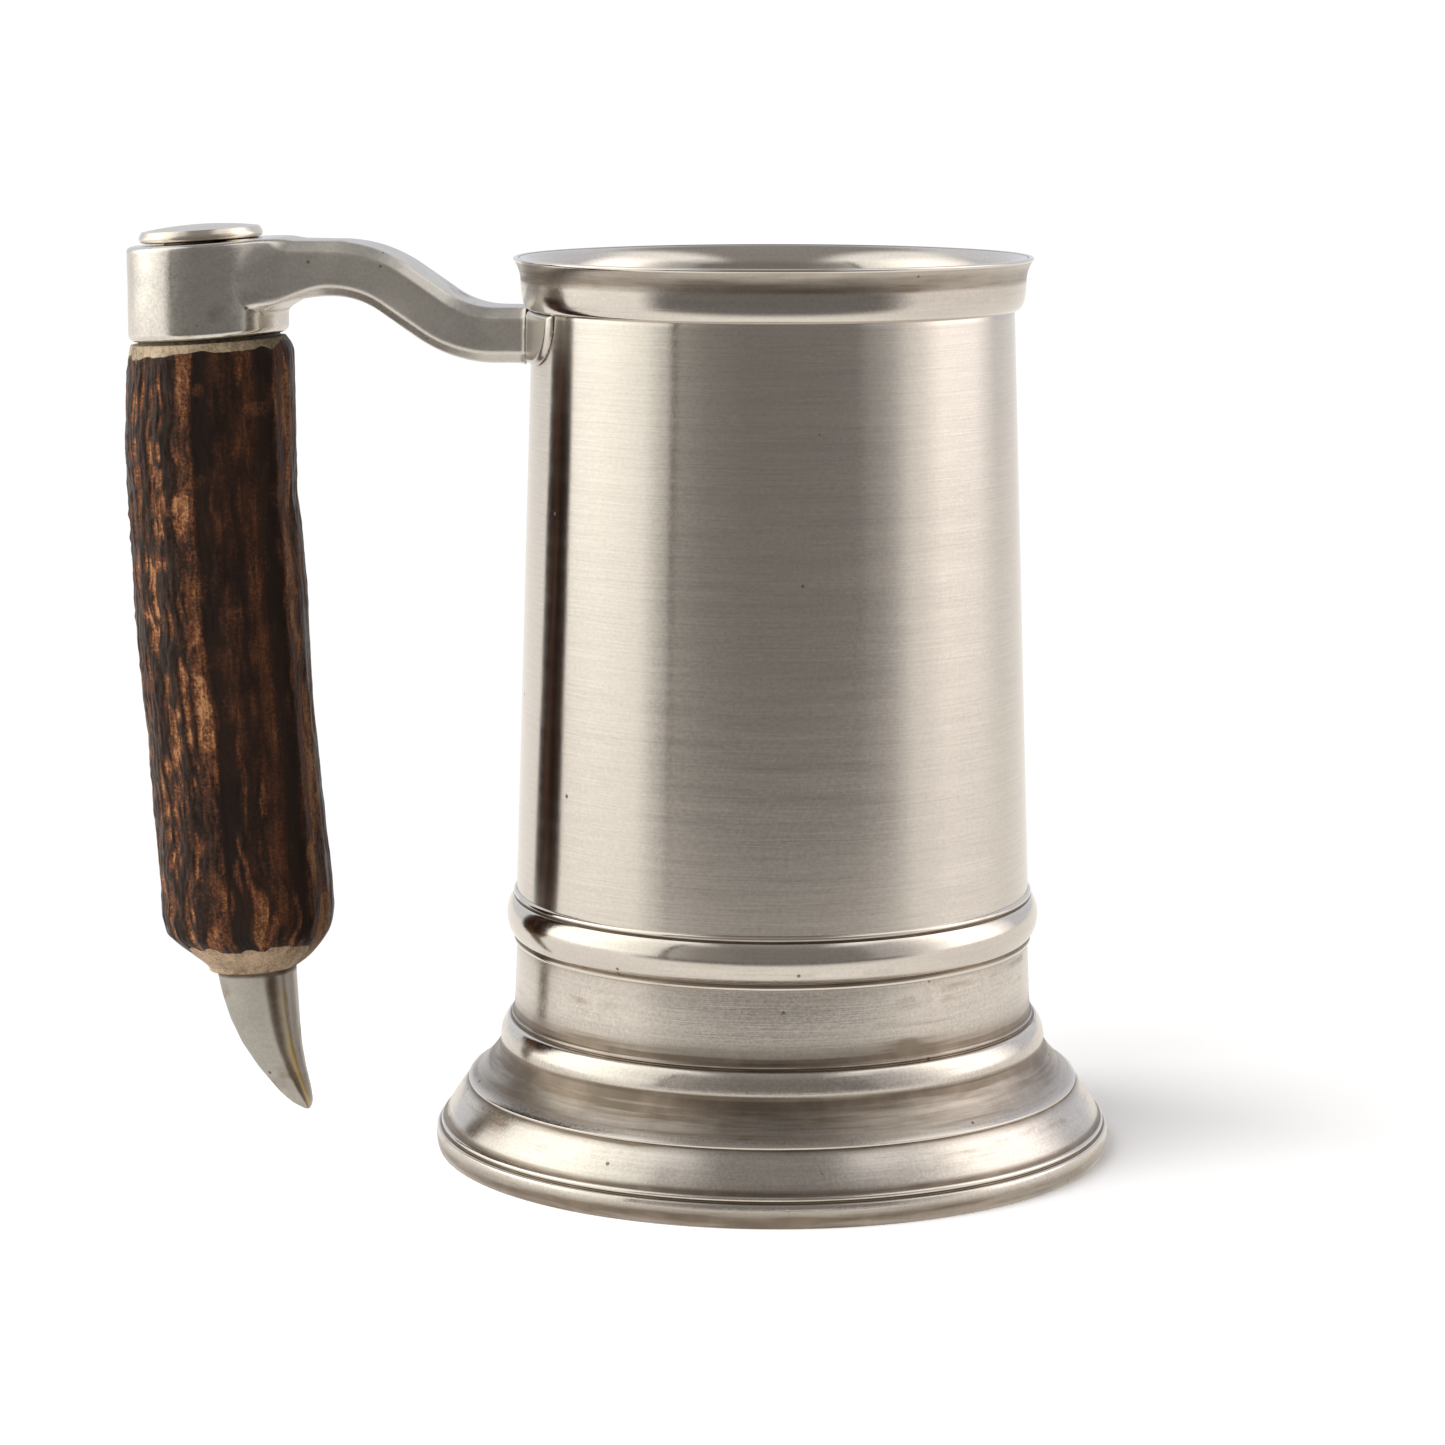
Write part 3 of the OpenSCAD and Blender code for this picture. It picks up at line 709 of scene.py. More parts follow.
# foot
foot = ([(51.2, 0), (54.2, 0)]
        + arc_z(48.75, 2.1, 5.95, 0.12, 3.62, 1, 16)
        + [(54.3, 3.74), (53.86, 3.80)]
        + arc(53.45, 4.33, 0.48, -48, 62, 12)
        + [(53.5, 4.86)]
        + arc_z(14.85, -16.49, 44.1, 4.95, 10.72, 1, 26)
        + [(49.36, 10.86), (49.3, 10.95), (49.42, 11.03), (49.44, 11.2)]
        + [(56.9 + 14.3 * math.cos(t), 23.57 + 14.3 * math.sin(t))
           for t in np.radians(np.linspace(238.6, 206.8, 30))]
        + [(44.12, 17.2)]
        + arc_z(38.95, 18.0, 5.2, 17.55, 21.3, 1, 22)
        + [(42.75, 21.42), (42.2, 21.5)]
        + arc(41.85, 22.05, 0.46, -55, 70, 12)
        + [(41.92, 22.6), (41.88, 23.2)]
        + [(41.95 + (41.35 - 41.95) * (z - 21) / 12.8, z) for z in np.linspace(24, 33.7, 8)]
        + [(41.35, 34), (41.35, 38.2), (39.9, 38.2), (39.9, 20.1), (38.3, 20.1), (38.3, 18.9),
           (41.6, 18.6), (42.3, 17.6), (42.6, 15.2), (43.6, 13.4), (46, 10.9), (48.4, 8.8),
           (50.9, 5.2), (51.2, 2.2)])
# Below 2.9 mm and outside r 53 mm the foot's bottom edge is darkened: painted shade for the contact shadow it would
# reflect. The cove term and the small overall term are patina.
lathe("foot_body", foot, "pewter_polished", ["foot_skirt"], M_FOOT, seg=384, longest=0.8,
      soft=0.05, wobble=0.016, seed=11,
      grime_and_shade=lambda r, z: (0.42 * np.clip((2.9 - z) / 1.0, 0, 1) * (r > 53)
                          + 0.07 * np.exp(-((z - 13.5) / 2.6) ** 2) + 0.03))

# floor: faintly dished disc with a turned centre
floor_top = [(39.9, 20.1), (39.9, 21.62), (39.5, 21.7), (30, 21.64), (20, 21.55), (10, 21.5),
             (1.2, 21.48), (0.7, 21.4), (0.0, 21.36)]
floor_under = [(0.0, 20.5), (10, 20.46), (20, 20.38), (30, 20.25), (38, 20.12)]
lathe("vessel_floor", floor_under + floor_top, "pewter_brushed", ["floor_disc"], M_FLOOR,
      seg=256, closed=False, longest=0.9, soft=0.03)

# ------------------------------------------------------------------ handle arm

R = 18.0
A = rad(34)
P1 = (-70.5, 141.5)
C1 = (P1[0], P1[1] - R)
E1 = (C1[0] + R * math.sin(A), C1[1] + R * math.cos(A))
RUN = (141.5 - 131.15 - 2 * R * (1 - math.cos(A))) / math.sin(A)
E2 = (E1[0] + RUN * math.cos(A), E1[1] - RUN * math.sin(A))
C2 = (E2[0] + R * math.sin(A), E2[1] + R * math.cos(A))


def arm_offset(x, z):
    """Signed distance above the arm's centreline in the XZ plane."""
    ca, sa = math.cos(A), math.sin(A)
    top = z - 141.5
    d1 = np.hypot(x - C1[0], z - C1[1]) - R
    mid = (x - E1[0]) * sa + (z - E1[1]) * ca
    d2 = R - np.hypot(x - C2[0], z - C2[1])
    low = z - 131.15
    in1 = (x >= C1[0]) & (((x - E1[0]) * ca - (z - E1[1]) * sa) < 0)
    in_mid = (((x - E1[0]) * ca - (z - E1[1]) * sa) >= 0) & (((x - E2[0]) * ca - (z - E2[1]) * sa) < 0)
    in2 = (((x - E2[0]) * ca - (z - E2[1]) * sa) >= 0) & (x < C2[0])
    return np.where(x < C1[0], top, np.where(in1, d1, np.where(in_mid, mid, np.where(in2, d2, low))))


def arm_field(x, y, z):
    v = arm_offset(x, z)
    ay = np.abs(y)
    # section: flats with bevelled edges, slightly crowned sides
    near = np.clip((-71.0 - x) / 12.0, 0, 1)
    near = near * near * (3 - 2 * near)  # it widens and deepens into the boss
    half_w = 6.8 + 0.7 * near
    half_d = 4.45 + 1.5 * near * (v < 0)
    side = ay - half_w + 0.0035 * v * v
    deep = np.abs(v) - half_d
    cut = np.where(v < 0, 1.75 * (1 - 0.97 * near), 1.75)  # the lower bevel dies out at the boss
    bevel = (np.abs(v) + ay - (half_d + half_w - cut)) / math.sqrt(2)
    body = rmax(rmax(side, deep, 0.3), bevel, 0.32)
    body = np.maximum(body, -86 - x)  # starts inside the boss
    # boss: upright cylinder between two leaning planes
    hx, hz = to_handle(x, z)
    rr = np.hypot(x - BOSS[0], y)
    boss = rmax(rr - 13.0, -hz, 1.25)
    boss = rmax(boss, hz - 15.6, 1.1)
    soft = np.clip((v + 8.2) / 2.8, 0, 1)
    d = rmin(body, boss, 0.9 + 2.6 * soft * soft * (3 - 2 * soft))
    # the union doesn't rise above the boss's top or the arm's top
    d = rmax(d, hz - 15.6, 0.9)
    d = rmax(d, z - 146.35, 0.35)
    # bore and well
    hr = np.hypot(hx, y)
    d = np.maximum(d, 2.7 - hr)
    d = np.maximum(d, -np.maximum(hr - 6.0, 8.6 - hz))
    # end fitted to the saddle, with a small solder fillet there
    skin = barrel_r(z) + 0.9
    gap = skin - np.hypot(x, y)
    flareout = np.clip(1 - (np.hypot(x, y) - skin) / 0.9, 0, 1)
    d = d - 0.35 * flareout ** 2
    d = np.maximum(d, gap)
    return d


arm_pts, arm_quads = net(arm_field, (-106.2, -14.4, 125.4), (-37.0, 14.4, 148.2), 0.26)
hol, nrm = hollow_of(arm_field, arm_pts, 1.6)
arm_pts = arm_pts + nrm * 0.012 * (
    value_noise((arm_pts[:, :1] + arm_pts[:, 2:] * 0.7) / 3.1, (arm_pts[:, 1:2] + arm_pts[:, 2:] * 0.4) / 2.7,
                64, 21) - 0.5)
# hand-finished: gently uneven, and duller along the bar than on the boss
arm_pts = arm_pts - nrm * 0.07 * value_noise(
    (arm_pts[:, :1] + arm_pts[:, 2:] * 0.3) / 8.0, (arm_pts[:, 2:] - arm_pts[:, :1] * 0.35) / 4.6 + 40, 64, 22)
on_bar = np.clip((arm_pts[:, 0] + 82.0) / 4.0, 0, 1)
new_piece("handle_arm_casting", arm_pts, arm_quads, attrs={
    "hollow": np.clip(hol * 2.2, 0, 1.2), "proud": -2.9 * on_bar,
}, nodes=["handle_arm"], material=M_ARM)

# saddle: U-shaped plate over the barrel, pillowed


def pad_field(x, y, z):
    rr = np.hypot(x, y)
    depth = (rr - barrel_r(z)) * math.cos(math.atan(TAPER))
    yz = np.abs(y)
    z0, z1 = COLLAR_Z - 8.3, COLLAR_Z - 0.06
    qx = yz - (22 - 6.6)
    qz = (z0 + 6.6) - z
    corner = np.where((qx > 0) & (qz > 0), np.hypot(np.maximum(qx, 0), np.maximum(qz, 0)) - 6.6,
                      np.maximum(yz - 22, z0 - z))
    edge = rmax(corner, z - z1, 0.1)
    d = rmax(edge, depth - 0.9, 0.86)
    return np.maximum(rmax(d, -depth - 0.0, 0.02), x + 20)


pad_pts, pad_quads = net(pad_field, (-43.6, -22.8, 126.4), (-30.6, 22.8, 136.2), 0.22)
hol, _ = hollow_of(pad_field, pad_pts, 1.0)
near_edge = np.clip(1.0 - (np.hypot(pad_pts[:, 0], pad_pts[:, 1]) - barrel_r(pad_pts[:, 2])) / 0.45, 0, 1)
new_piece("saddle_plate", pad_pts, pad_quads, attrs={
    "hollow": near_edge * 0.4, "proud": np.zeros(len(pad_pts)),
}, nodes=["saddle_pad"], material=M_PAD)

# cap: thin domed disc with a rounded edge, spigot into the well
dome = 15.6 + 1.8 + 0.8 - 58.0
cap = ([(0.0, 14.7), (5.95, 14.7), (5.95, 15.6), (9.35, 15.6)]
       + arc(9.3, 16.3, 0.7, -90, 35, 10)
       + [(r, dome + math.sqrt(58 ** 2 - r ** 2)) for r in (9.5, 8.9, 8, 7, 6, 5, 4, 3, 2, 1, 0.0)])
lathe("cap_cover", cap, "pewter_cast", ["cap_disc"], M_CAP, seg=192, closed=False,
      longest=0.6, soft=0.06, transform=from_handle)

# ------------------------------------------------------------------ antler grip

# silhouette at the front: height above the table, then the left and the right edge
LEFT = [(130.4, -103.75), (129.4, -104.56), (128.4, -104.92), (127.1, -105.17), (120.5, -105.69),
        (112.7, -105.9), (104.8, -105.69), (97, -105.37), (89.1, -105.05), (81.2, -104.74),
        (73.2, -104.11), (65.3, -103.28), (57.3, -102.75), (49.3, -102.23), (41.3, -101.7),
        (35.2, -101.34), (32, -100.68), (29.7, -98.02), (26.4, -93.85)]
RIGHT = [(130.4, -79.73), (129.2, -78.82), (127.7, -78.41), (112.7, -78.32), (104.8, -78.31),
         (97, -77.38), (89.2, -76.87), (81.3, -76.66), (73.2, -76.34), (65.3, -75.71),
         (57.4, -74.99), (49.4, -74.31), (41.3, -73.43), (36.3, -73.12), (34.1, -73.43),
         (32.2, -73.94), (30.5, -75.05), (28, -77.17), (26.5, -79.31)]
GL = 103.6
top_z, bot_z = -0.5, -0.5 - GL


def edge_of(table):
    q = np.array([to_handle(x, z) for z, x in table])
    q = q[np.argsort(-q[:, 1])]
    return q[:, 1], q[:, 0]


n_th, n_z = 464, 430
zl = np.concatenate([
    np.linspace(top_z, top_z - 2.2, 16, endpoint=False),
    np.linspace(top_z - 2.2, bot_z + 8, n_z - 48, endpoint=False),
    np.linspace(bot_z + 8, bot_z, 32),
])
n_z = len(zl)
lz, lx = edge_of(LEFT)
rz, rx = edge_of(RIGHT)
xl = np.interp(-zl, -lz, lx)
xr = np.interp(-zl, -rz, rx)
xl[0], xr[0] = min(xl[0], -11.6), max(xr[0], 11.6)


def soften(a, steps, keep_ends=3):
    k = np.exp(-0.5 * (np.arange(-3 * steps, 3 * steps + 1) / steps) ** 2)
    k /= k.sum()
    pad = np.pad(a, 3 * steps, mode="reflect", reflect_type="odd")
    return np.convolve(pad, k, mode="valid")


xl, xr = soften(xl, 2), soften(xr, 2)
cx, hw = (xl + xr) / 2, (xr - xl) / 2
th = np.arange(n_th) * 2 * math.pi / n_th  # 0 is towards the vessel, -90 degrees faces the camera
U, T = np.meshgrid(th / (2 * math.pi), (top_z - zl) / GL)
phi = (np.degrees(U * 2 * math.pi) + 75 + 180) % 360 - 180  # 0 faces the camera, + to the right
s_mm = T * GL


def bump_at(p, centre, width):
    d = (p - centre + 180) % 360 - 180
    return np.exp(-0.5 * (d / width) ** 2)


# long wandering ridges: noise stretched down the grip, warped sideways
warp = 0.034 * (value_noise(U * 7, s_mm / 15.0, 7, 31) - 0.5) + 0.017 * (
    value_noise(U * 19, s_mm / 5.0, 19, 32) - 0.5)
Uw = U + warp
r1 = value_noise(Uw * 42, s_mm / 9.0, 42, 33)
r2 = value_noise(Uw * 84, s_mm / 4.2, 84, 34)
r3 = value_noise(Uw * 132, s_mm / 2.2, 132, 35)
r4 = value_noise(Uw * 210, s_mm / 1.1, 210, 36)
broad = value_noise(U * 8, s_mm / 13.0, 8, 37)
ridge = 1 - np.abs(2 * r1 - 1)
ridge2 = 1 - np.abs(2 * r2 - 1)
field_h = 0.34 * ridge + 0.34 * ridge2 + 0.32 * r3


def step_up(v, a, b):
    t = np.clip((v - a) / (b - a), 0, 1)
    return t * t * (3 - 2 * t)


# zones round the grip: rough on the left, smooth and dark in front, facets on the right
wav = 2.2 * np.sin(s_mm / 14.0) + 1.4 * np.sin(s_mm / 6.1 + 1.0)
pz = phi + wav * 0.5
pj = pz + 7.0 * (r2 - 0.5)  # the same with a ragged edge
rough_l = step_up(-pz, 13.0, 20.0) * np.clip((pz + 150) / 20, 0, 1)
back_z = np.clip((np.abs(pz) - 115) / 25, 0, 1)
front_z = step_up(pz, -14.5, -10.0) * np.clip((44 - pz) / 6.0, 0, 1)
facet_r = np.clip((pz - 44) / 4, 0, 1) * np.clip((120 - pz) / 15, 0, 1)
lit_band = step_up(pj, -29.0, -21.0) * step_up(-pz, 11.5, 14.5)
rust_band = (bump_at(pj, 26.0, 6.0) * 0.9 + bump_at(pj, 56.0, 6.5) * 0.9 + bump_at(pj, 5.0, 5.0) * 0.35)

amp = 0.27 * rough_l + 0.075 * front_z + 0.12 * facet_r + 0.24 * back_z + 0.04
h = amp * 2.0 * (field_h - 0.5)
h += 0.12 * bump_at(pz, -15.0, 3.0) - 0.16 * bump_at(pz, -8.0, 5.0)  # edge of the front facet
h += 0.20 * bump_at(pz, 47.5, 3.0) - 0.26 * bump_at(pz, 39.0, 5.5)
h += 0.16 * bump_at(pz, 67.0, 3.0) - 0.14 * bump_at(pz, 60.0, 4.0) - 0.10 * bump_at(pz, 74.0, 3.5)
h += -0.16 * bump_at(pz, 15.0, 10.0)
h += 0.13 * bump_at(pz, -62.0, 4.0) - 0.17 * bump_at(pz, -48.0, 5.0) + 0.13 * bump_at(pz, -36.0, 4.0)
h += 0.25 * np.cos(np.radians(3 * pz + 40 * np.sin(s_mm / 31.0))) * back_z
h += 0.06 * (r4 - 0.5) * (0.3 + rough_l + back_z)

# where it shows tan: valleys of the rough zones, spots and flames in the front, the cut ends
spots = value_noise(Uw * 30, s_mm / 3.6, 30, 41)
flame = value_noise(Uw * 56, s_mm / 12.0, 56, 43) * 0.68 + value_noise(Uw * 110, s_mm / 5.0, 110, 42) * 0.32
high_end = np.clip(1 - T / 0.30, 0, 1)
low_end = np.clip((T - 0.55) / 0.45, 0, 1)
valley = 1.0 - field_h
tan = 0.10 + 0.12 * r2 * (0.4 + broad) - 0.065 * front_z
tan = tan + rough_l * (1 - 0.75 * lit_band) * step_up(valley, 0.36, 0.68) * (0.26 + 0.46 * broad)
tan = tan + lit_band * (0.12 + 0.27 * step_up(0.5 * flame + 0.5 * broad + 0.16 * high_end + 0.10 * low_end, 0.36, 0.66)
                        ) * (1 - 0.55 * step_up(field_h, 0.52, 0.72)) * (0.7 + 0.6 * r3)
tan = tan + front_z * step_up(flame + 0.13 * low_end, 0.64, 0.78) * (0.12 + 0.40 * low_end)
tan = tan + front_z * step_up(spots, 0.76, 0.92) * (0.10 + 0.22 * high_end)
facet_b = step_up(pz, 47.0, 50.0) * step_up(-pz, -80.0, -70.0)
tan = tan + facet_b * (0.07 + 0.20 * step_up(flame, 0.42, 0.66)) * (0.6 + 0.8 * r3)
tan = tan + facet_r * step_up(flame, 0.52, 0.74) * 0.20 + 0.13 * rust_band * (0.4 + 1.2 * r1)
tan = tan - 0.14 * bump_at(pz, 39.0, 5.0) - 0.10 * bump_at(pz, -7.5, 3.5)
tan = tan + bump_at(pj, 49.0, 1.5) * 0.12 + bump_at(pz, 86.0, 4.0) * 0.25
tan = tan + back_z * step_up(valley, 0.38, 0.66) * (0.22 + 0.36 * broad)
tan = np.clip(tan, 0, 1)
h -= 0.10 * tan * (1 - lit_band)
rust = np.clip(rust_band * (0.40 + 1.1 * (r2 - 0.35)) + 0.16 * step_up(broad, 0.5, 0.8) * front_z, 0, 1)

# cut ends: chamfers show cream, with a ragged edge to the bark
top_in = np.clip(1 - (top_z - zl) / 2.0, 0, 1)[:, None]
ragged_t = 0.9 * (value_noise(U * 40, s_mm * 0 + 3, 40, 51) - 0.5) + 0.9 * (value_noise(U * 11, s_mm * 0 + 5, 11, 52) - 0.5)
ragged_b = 1.6 * (value_noise(U * 36, s_mm * 0 + 7, 36, 53) - 0.5) + 2.2 * (value_noise(U * 9, s_mm * 0 + 9, 9, 54) - 0.5)
from_top = (top_z - zl)[:, None] + ragged_t - 0.8 * bump_at(phi, -52.0, 26.0) + 0.75
from_bot = (zl - bot_z)[:, None] + ragged_b
cut = np.clip(1.0 - (from_top - 1.5) / 0.5, 0, 1) + np.clip(1.0 - (from_bot - 4.0) / 0.6, 0, 1)
cut = np.clip(cut, 0, 1)
fade = np.clip((top_z - zl - 0.3) / 2.4, 0, 1)[:, None] * np.clip((zl - bot_z - 1.5) / 5.0, 0, 1)[:, None]
h = h * (0.12 + 0.88 * fade)

rr = hw[:, None] + h
X = cx[:, None] + rr * np.cos(U * 2 * math.pi)
Y = 0.975 * rr * np.sin(U * 2 * math.pi)
Z = np.repeat(zl[:, None], n_th, 1)
body_v = np.stack([X, Y, Z], 2).reshape(-1, 3)
idx = np.arange(n_z * n_th).reshape(n_z, n_th)
nx = np.roll(idx, -1, 1)
quads = [np.stack([idx[i + 1], nx[i + 1], nx[i], idx[i]], 1) for i in range(n_z - 1)]
at_tan, at_cut, at_rust = tan.ravel().tolist(), cut.ravel().tolist(), rust.ravel().tolist()
extra = []
count = n_z * n_th


def add_ring(x, y, zz):
    global count
    ring = np.arange(count, count + n_th)
    extra.append(np.stack([x, y, np.full(n_th, zz)], 1))
    at_tan.extend([0.0] * n_th)
    at_cut.extend([1.0] * n_th)
    at_rust.extend([0.0] * n_th)
    count += n_th
    return ring


c, s = np.cos(th), np.sin(th)
prev = idx[0]
for q in (0.97, 0.8, 0.6, 0.42, None):  # top face in to the bore
    if q is None:
        ring = add_ring(3.2 * c, 3.2 * s, top_z)
    else:
        ring = add_ring(X[0] * q, Y[0] * q, top_z)
    quads.append(np.stack([prev, np.roll(prev, -1), np.roll(ring, -1), ring], 1))
    prev = ring
for zz in np.linspace(top_z, bot_z, 14)[1:]:  # bore
    ring = add_ring(3.2 * c, 3.2 * s, zz)
    quads.append(np.stack([prev, np.roll(prev, -1), np.roll(ring, -1), ring], 1))
    prev = ring
for q in (0.42, 0.6, 0.8, 0.97, None):
    if q is None:
        ring = idx[-1]
    else:
        cc = cx[-1]
        ring = add_ring(cc * q + (X[-1] - cc) * q + 0 * c, Y[-1] * q, bot_z)
    quads.append(np.stack([prev, np.roll(prev, -1), np.roll(ring, -1), ring], 1))
    prev = ring
grip_v = from_handle(np.vstack([body_v] + extra))
new_piece("antler_grip_bark", grip_v, np.concatenate(quads), attrs={
    "tan": at_tan, "cut": at_cut, "rust": at_rust,
}, nodes=["antler_grip"], material=M_ANTLER)

# ------------------------------------------------------------------ claw

CLAW_L = [(26.2, -92.82), (24.4, -92.41), (21.4, -91.79), (17.4, -90.55), (13.3, -88.69),
          (9.2, -85.91), (5.2, -82.6), (3, -80.14), (2.2, -79)]
CLAW_R = [(26.2, -79.5), (24.4, -79.44), (17.4, -79.06), (13.3, -78.73), (9.3, -78.08),
          (5.2, -77.12), (3, -76.84), (2.2, -76.77)]
lz, lx = edge_of(CLAW_L)
rz, rx = edge_of(CLAW_R)
claw_top = bot_z
claw_bot = -0.5 - GL - 24.6
tt = 1 - (1 - np.linspace(0, 1, 110)) ** 1.0
cz = claw_top + (claw_bot + 0.15 - claw_top) * tt
xl = np.interp(-cz, -lz, lx)
xr = np.interp(-cz, -rz, rx)
tip = np.clip((cz - claw_bot) / 1.7, 0, 1)
mid = (xl + xr) / 2
half = (xr - xl) / 2 * np.sqrt(np.clip(1 - (1 - tip) ** 2, 0, 1))
half = soften(half, 2)
mid = soften(mid, 2)
half[-1] = max(half[-1], 0.05)
n_c = 160
tc = np.arange(n_c) * 2 * math.pi / n_c
UC, TC = np.meshgrid(tc / (2 * math.pi), tt)
pc = (np.degrees(UC * 2 * math.pi) + 75 + 180) % 360 - 180
HW = half[:, None]
shape = (1 + 0.034 * bump_at(pc, 6, 7) - 0.040 * bump_at(pc, 21, 8) - 0.015 * bump_at(pc, -24, 24)
         + 0.034 * bump_at(pc, 36, 6) - 0.02 * bump_at(pc, 54, 8)
         + 0.045 * bump_at(pc, 160, 12) - 0.03 * bump_at(pc, -150, 20))
fade_c = np.clip(TC / 0.05, 0, 1) * 0.75 + 0.25
shape = 1 + (shape - 1) * fade_c
cast = 0.06 * (value_noise(UC * 14, TC * 9, 14, 61) - 0.5) + 0.02 * (value_noise(UC * 60, TC * 42, 60, 62) - 0.5)
rc = HW * shape + cast * np.clip(HW / 2, 0, 1)
CX = mid[:, None] + rc * np.cos(UC * 2 * math.pi)
CY = 0.9 * rc * np.sin(UC * 2 * math.pi)
CZ = np.repeat(cz[:, None], n_c, 1)
cv = np.stack([CX, CY, CZ], 2).reshape(-1, 3)
ci = np.arange(len(tt) * n_c).reshape(len(tt), n_c)
cn = np.roll(ci, -1, 1)
cq = [np.stack([ci[i + 1], cn[i + 1], cn[i], ci[i]], 1) for i in range(len(tt) - 1)]
# darker band along the crease at 19 degrees beside the ridge: painted shade; the claw is also darker at its top, where
# it meets the grip
hollow_and_shade_c = 0.62 * bump_at(pc, 19, 7) + 1.3 * np.clip(1 - TC / 0.045, 0, 1)
# lighter on the narrow ridge at 6 degrees, a rubbed ridge, and in a broad strip at 66 degrees: painted highlight
ridge_and_glint_c = 0.8 * bump_at(pc, 6, 3) + 1.2 * bump_at(pc, 66, 12)
# golden streak at 35 degrees down the claw: painted highlight
gold_glint_l = (bump_at(pc, 35, 5.5) * np.clip((TC - 0.05) / 0.15, 0, 1)).ravel().tolist()
hollow_and_shade_l, ridge_and_glint_l = hollow_and_shade_c.ravel().tolist(), ridge_and_glint_c.ravel().tolist()
c_extra, c_count = [], len(cv)
cc_, cs_ = np.cos(tc), np.sin(tc)


def claw_ring(x, y, zz):
    global c_count
    ring = np.arange(c_count, c_count + n_c)
    c_extra.append(np.stack([x, y, np.full(n_c, zz)], 1))
    hollow_and_shade_l.extend([0.5] * n_c)
    ridge_and_glint_l.extend([0.0] * n_c)
    gold_glint_l.extend([0.0] * n_c)
    c_count += n_c
    return ring


prev = ci[0]
for q in (0.96, 0.7, None):
    ring = claw_ring(*((2.5 * cc_, 2.5 * cs_, claw_top) if q is None else (CX[0] * q, CY[0] * q, claw_top)))
    cq.append(np.stack([prev, np.roll(prev, -1), np.roll(ring, -1), ring], 1))
    prev = ring
for zz in (claw_top - 3, claw_top - 6, claw_top - 9):
    ring = claw_ring(2.5 * cc_, 2.5 * cs_, zz)
    cq.append(np.stack([prev, np.roll(prev, -1), np.roll(ring, -1), ring], 1))
    prev = ring
bot_c, tip_c = c_count, c_count + 1
c_extra.append(np.array([[0, 0, claw_top - 9.6], [mid[-1], 0, claw_bot]]))
hollow_and_shade_l.extend([0.5, 0.0])
ridge_and_glint_l.extend([0.0, 0.3])
gold_glint_l.extend([0.0, 0.0])
c_tris = [np.stack([prev, np.roll(prev, -1), np.full(n_c, bot_c)], 1),
          np.stack([np.roll(ci[-1], -1), ci[-1], np.full(n_c, tip_c)], 1)]
new_piece("claw_casting", from_handle(np.vstack([cv] + c_extra)), np.concatenate(cq),
          np.concatenate(c_tris), attrs={"hollow": hollow_and_shade_l, "proud": ridge_and_glint_l, "gold_glint": gold_glint_l},
          nodes=["claw_finial"], material=M_CLAW)

# ------------------------------------------------------------------ fastening nodes kept from the CAD

for node in ("tie_rod", "rod_nut", "nut_washer"):
    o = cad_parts[node]
    o.data.materials.clear()
    o.data.materials.append(M_STEEL)
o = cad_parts["seat_washer"]
o.data.materials.clear()
o.data.materials.append(M_FIBRE)

# ------------------------------------------------------------------ stage

fm = bpy.data.meshes.new("studio_floor")
S = 3.0
fm.from_pydata([(-S, -S, 0), (S, -S, 0), (S, S, 0), (-S, S, 0)], [], [(0, 1, 2, 3)])
floor = bpy.data.objects.new("studio_floor", fm)
bpy.context.scene.collection.objects.link(floor)
fmat = bpy.data.materials.new("studio_floor_white")
fmat.use_nodes = True
k = Nodes(fmat.node_tree)
fout = k.add("ShaderNodeOutputMaterial")
diff = k.add("ShaderNodeBsdfDiffuse")
diff.inputs["Color"].default_value = (0.9, 0.9, 0.9, 1)
glow = k.add("ShaderNodeEmission")
glow.inputs["Color"].default_value = (1, 1, 1, 1)
glow.inputs["Strength"].default_value = 0.0
both = k.add("ShaderNodeAddShader")
k.t.links.new(diff.outputs[0], both.inputs[0])
k.t.links.new(glow.outputs[0], both.inputs[1])
# the room's dark side, as gloss sees it past the edge of the lit table
dusk = k.add("ShaderNodeEmission")
dusk.inputs["Color"].default_value = (0.205, 0.196, 0.188, 1)
dusk.inputs["Strength"].default_value = 1.0
geo = k.add("ShaderNodeNewGeometry")
sep = k.add("ShaderNodeSeparateXYZ")
k.t.links.new(geo.outputs["Position"], sep.inputs[0])
ny = k.math("SUBTRACT", k.math("MULTIPLY", sep.outputs[0], ST), k.math("MULTIPLY", sep.outputs[1], CT))
nx_ = k.math("ADD", k.math("MULTIPLY", sep.outputs[0], CT), k.math("MULTIPLY", sep.outputs[1], ST))
ahead = k.remap(ny, 0.12, 0.30)
slope = k.math("DIVIDE", nx_, k.math("MAXIMUM", ny, 0.01))
side = k.math("MULTIPLY", k.remap(slope, 1.02, 2.30, 1.0, 0.0),
              k.remap(slope, -1.95, -1.08, 0.0, 1.0))
path = k.add("ShaderNodeLightPath")
fac = k.math("MULTIPLY", k.math("MULTIPLY", ahead, side), path.outputs["Is Glossy Ray"])
sheen = k.add("ShaderNodeEmission")
sheen.inputs["Color"].default_value = (0.94, 0.895, 0.835, 1)
sheen.inputs["Strength"].default_value = 1.0
even = k.add("ShaderNodeMixShader")
k.t.links.new(k.math("MULTIPLY", path.outputs["Is Glossy Ray"], 0.85), even.inputs[0])
k.t.links.new(both.outputs[0], even.inputs[1])
k.t.links.new(sheen.outputs[0], even.inputs[2])
pick = k.add("ShaderNodeMixShader")
k.t.links.new(fac, pick.inputs[0])
k.t.links.new(even.outputs[0], pick.inputs[1])
k.t.links.new(dusk.outputs[0], pick.inputs[2])
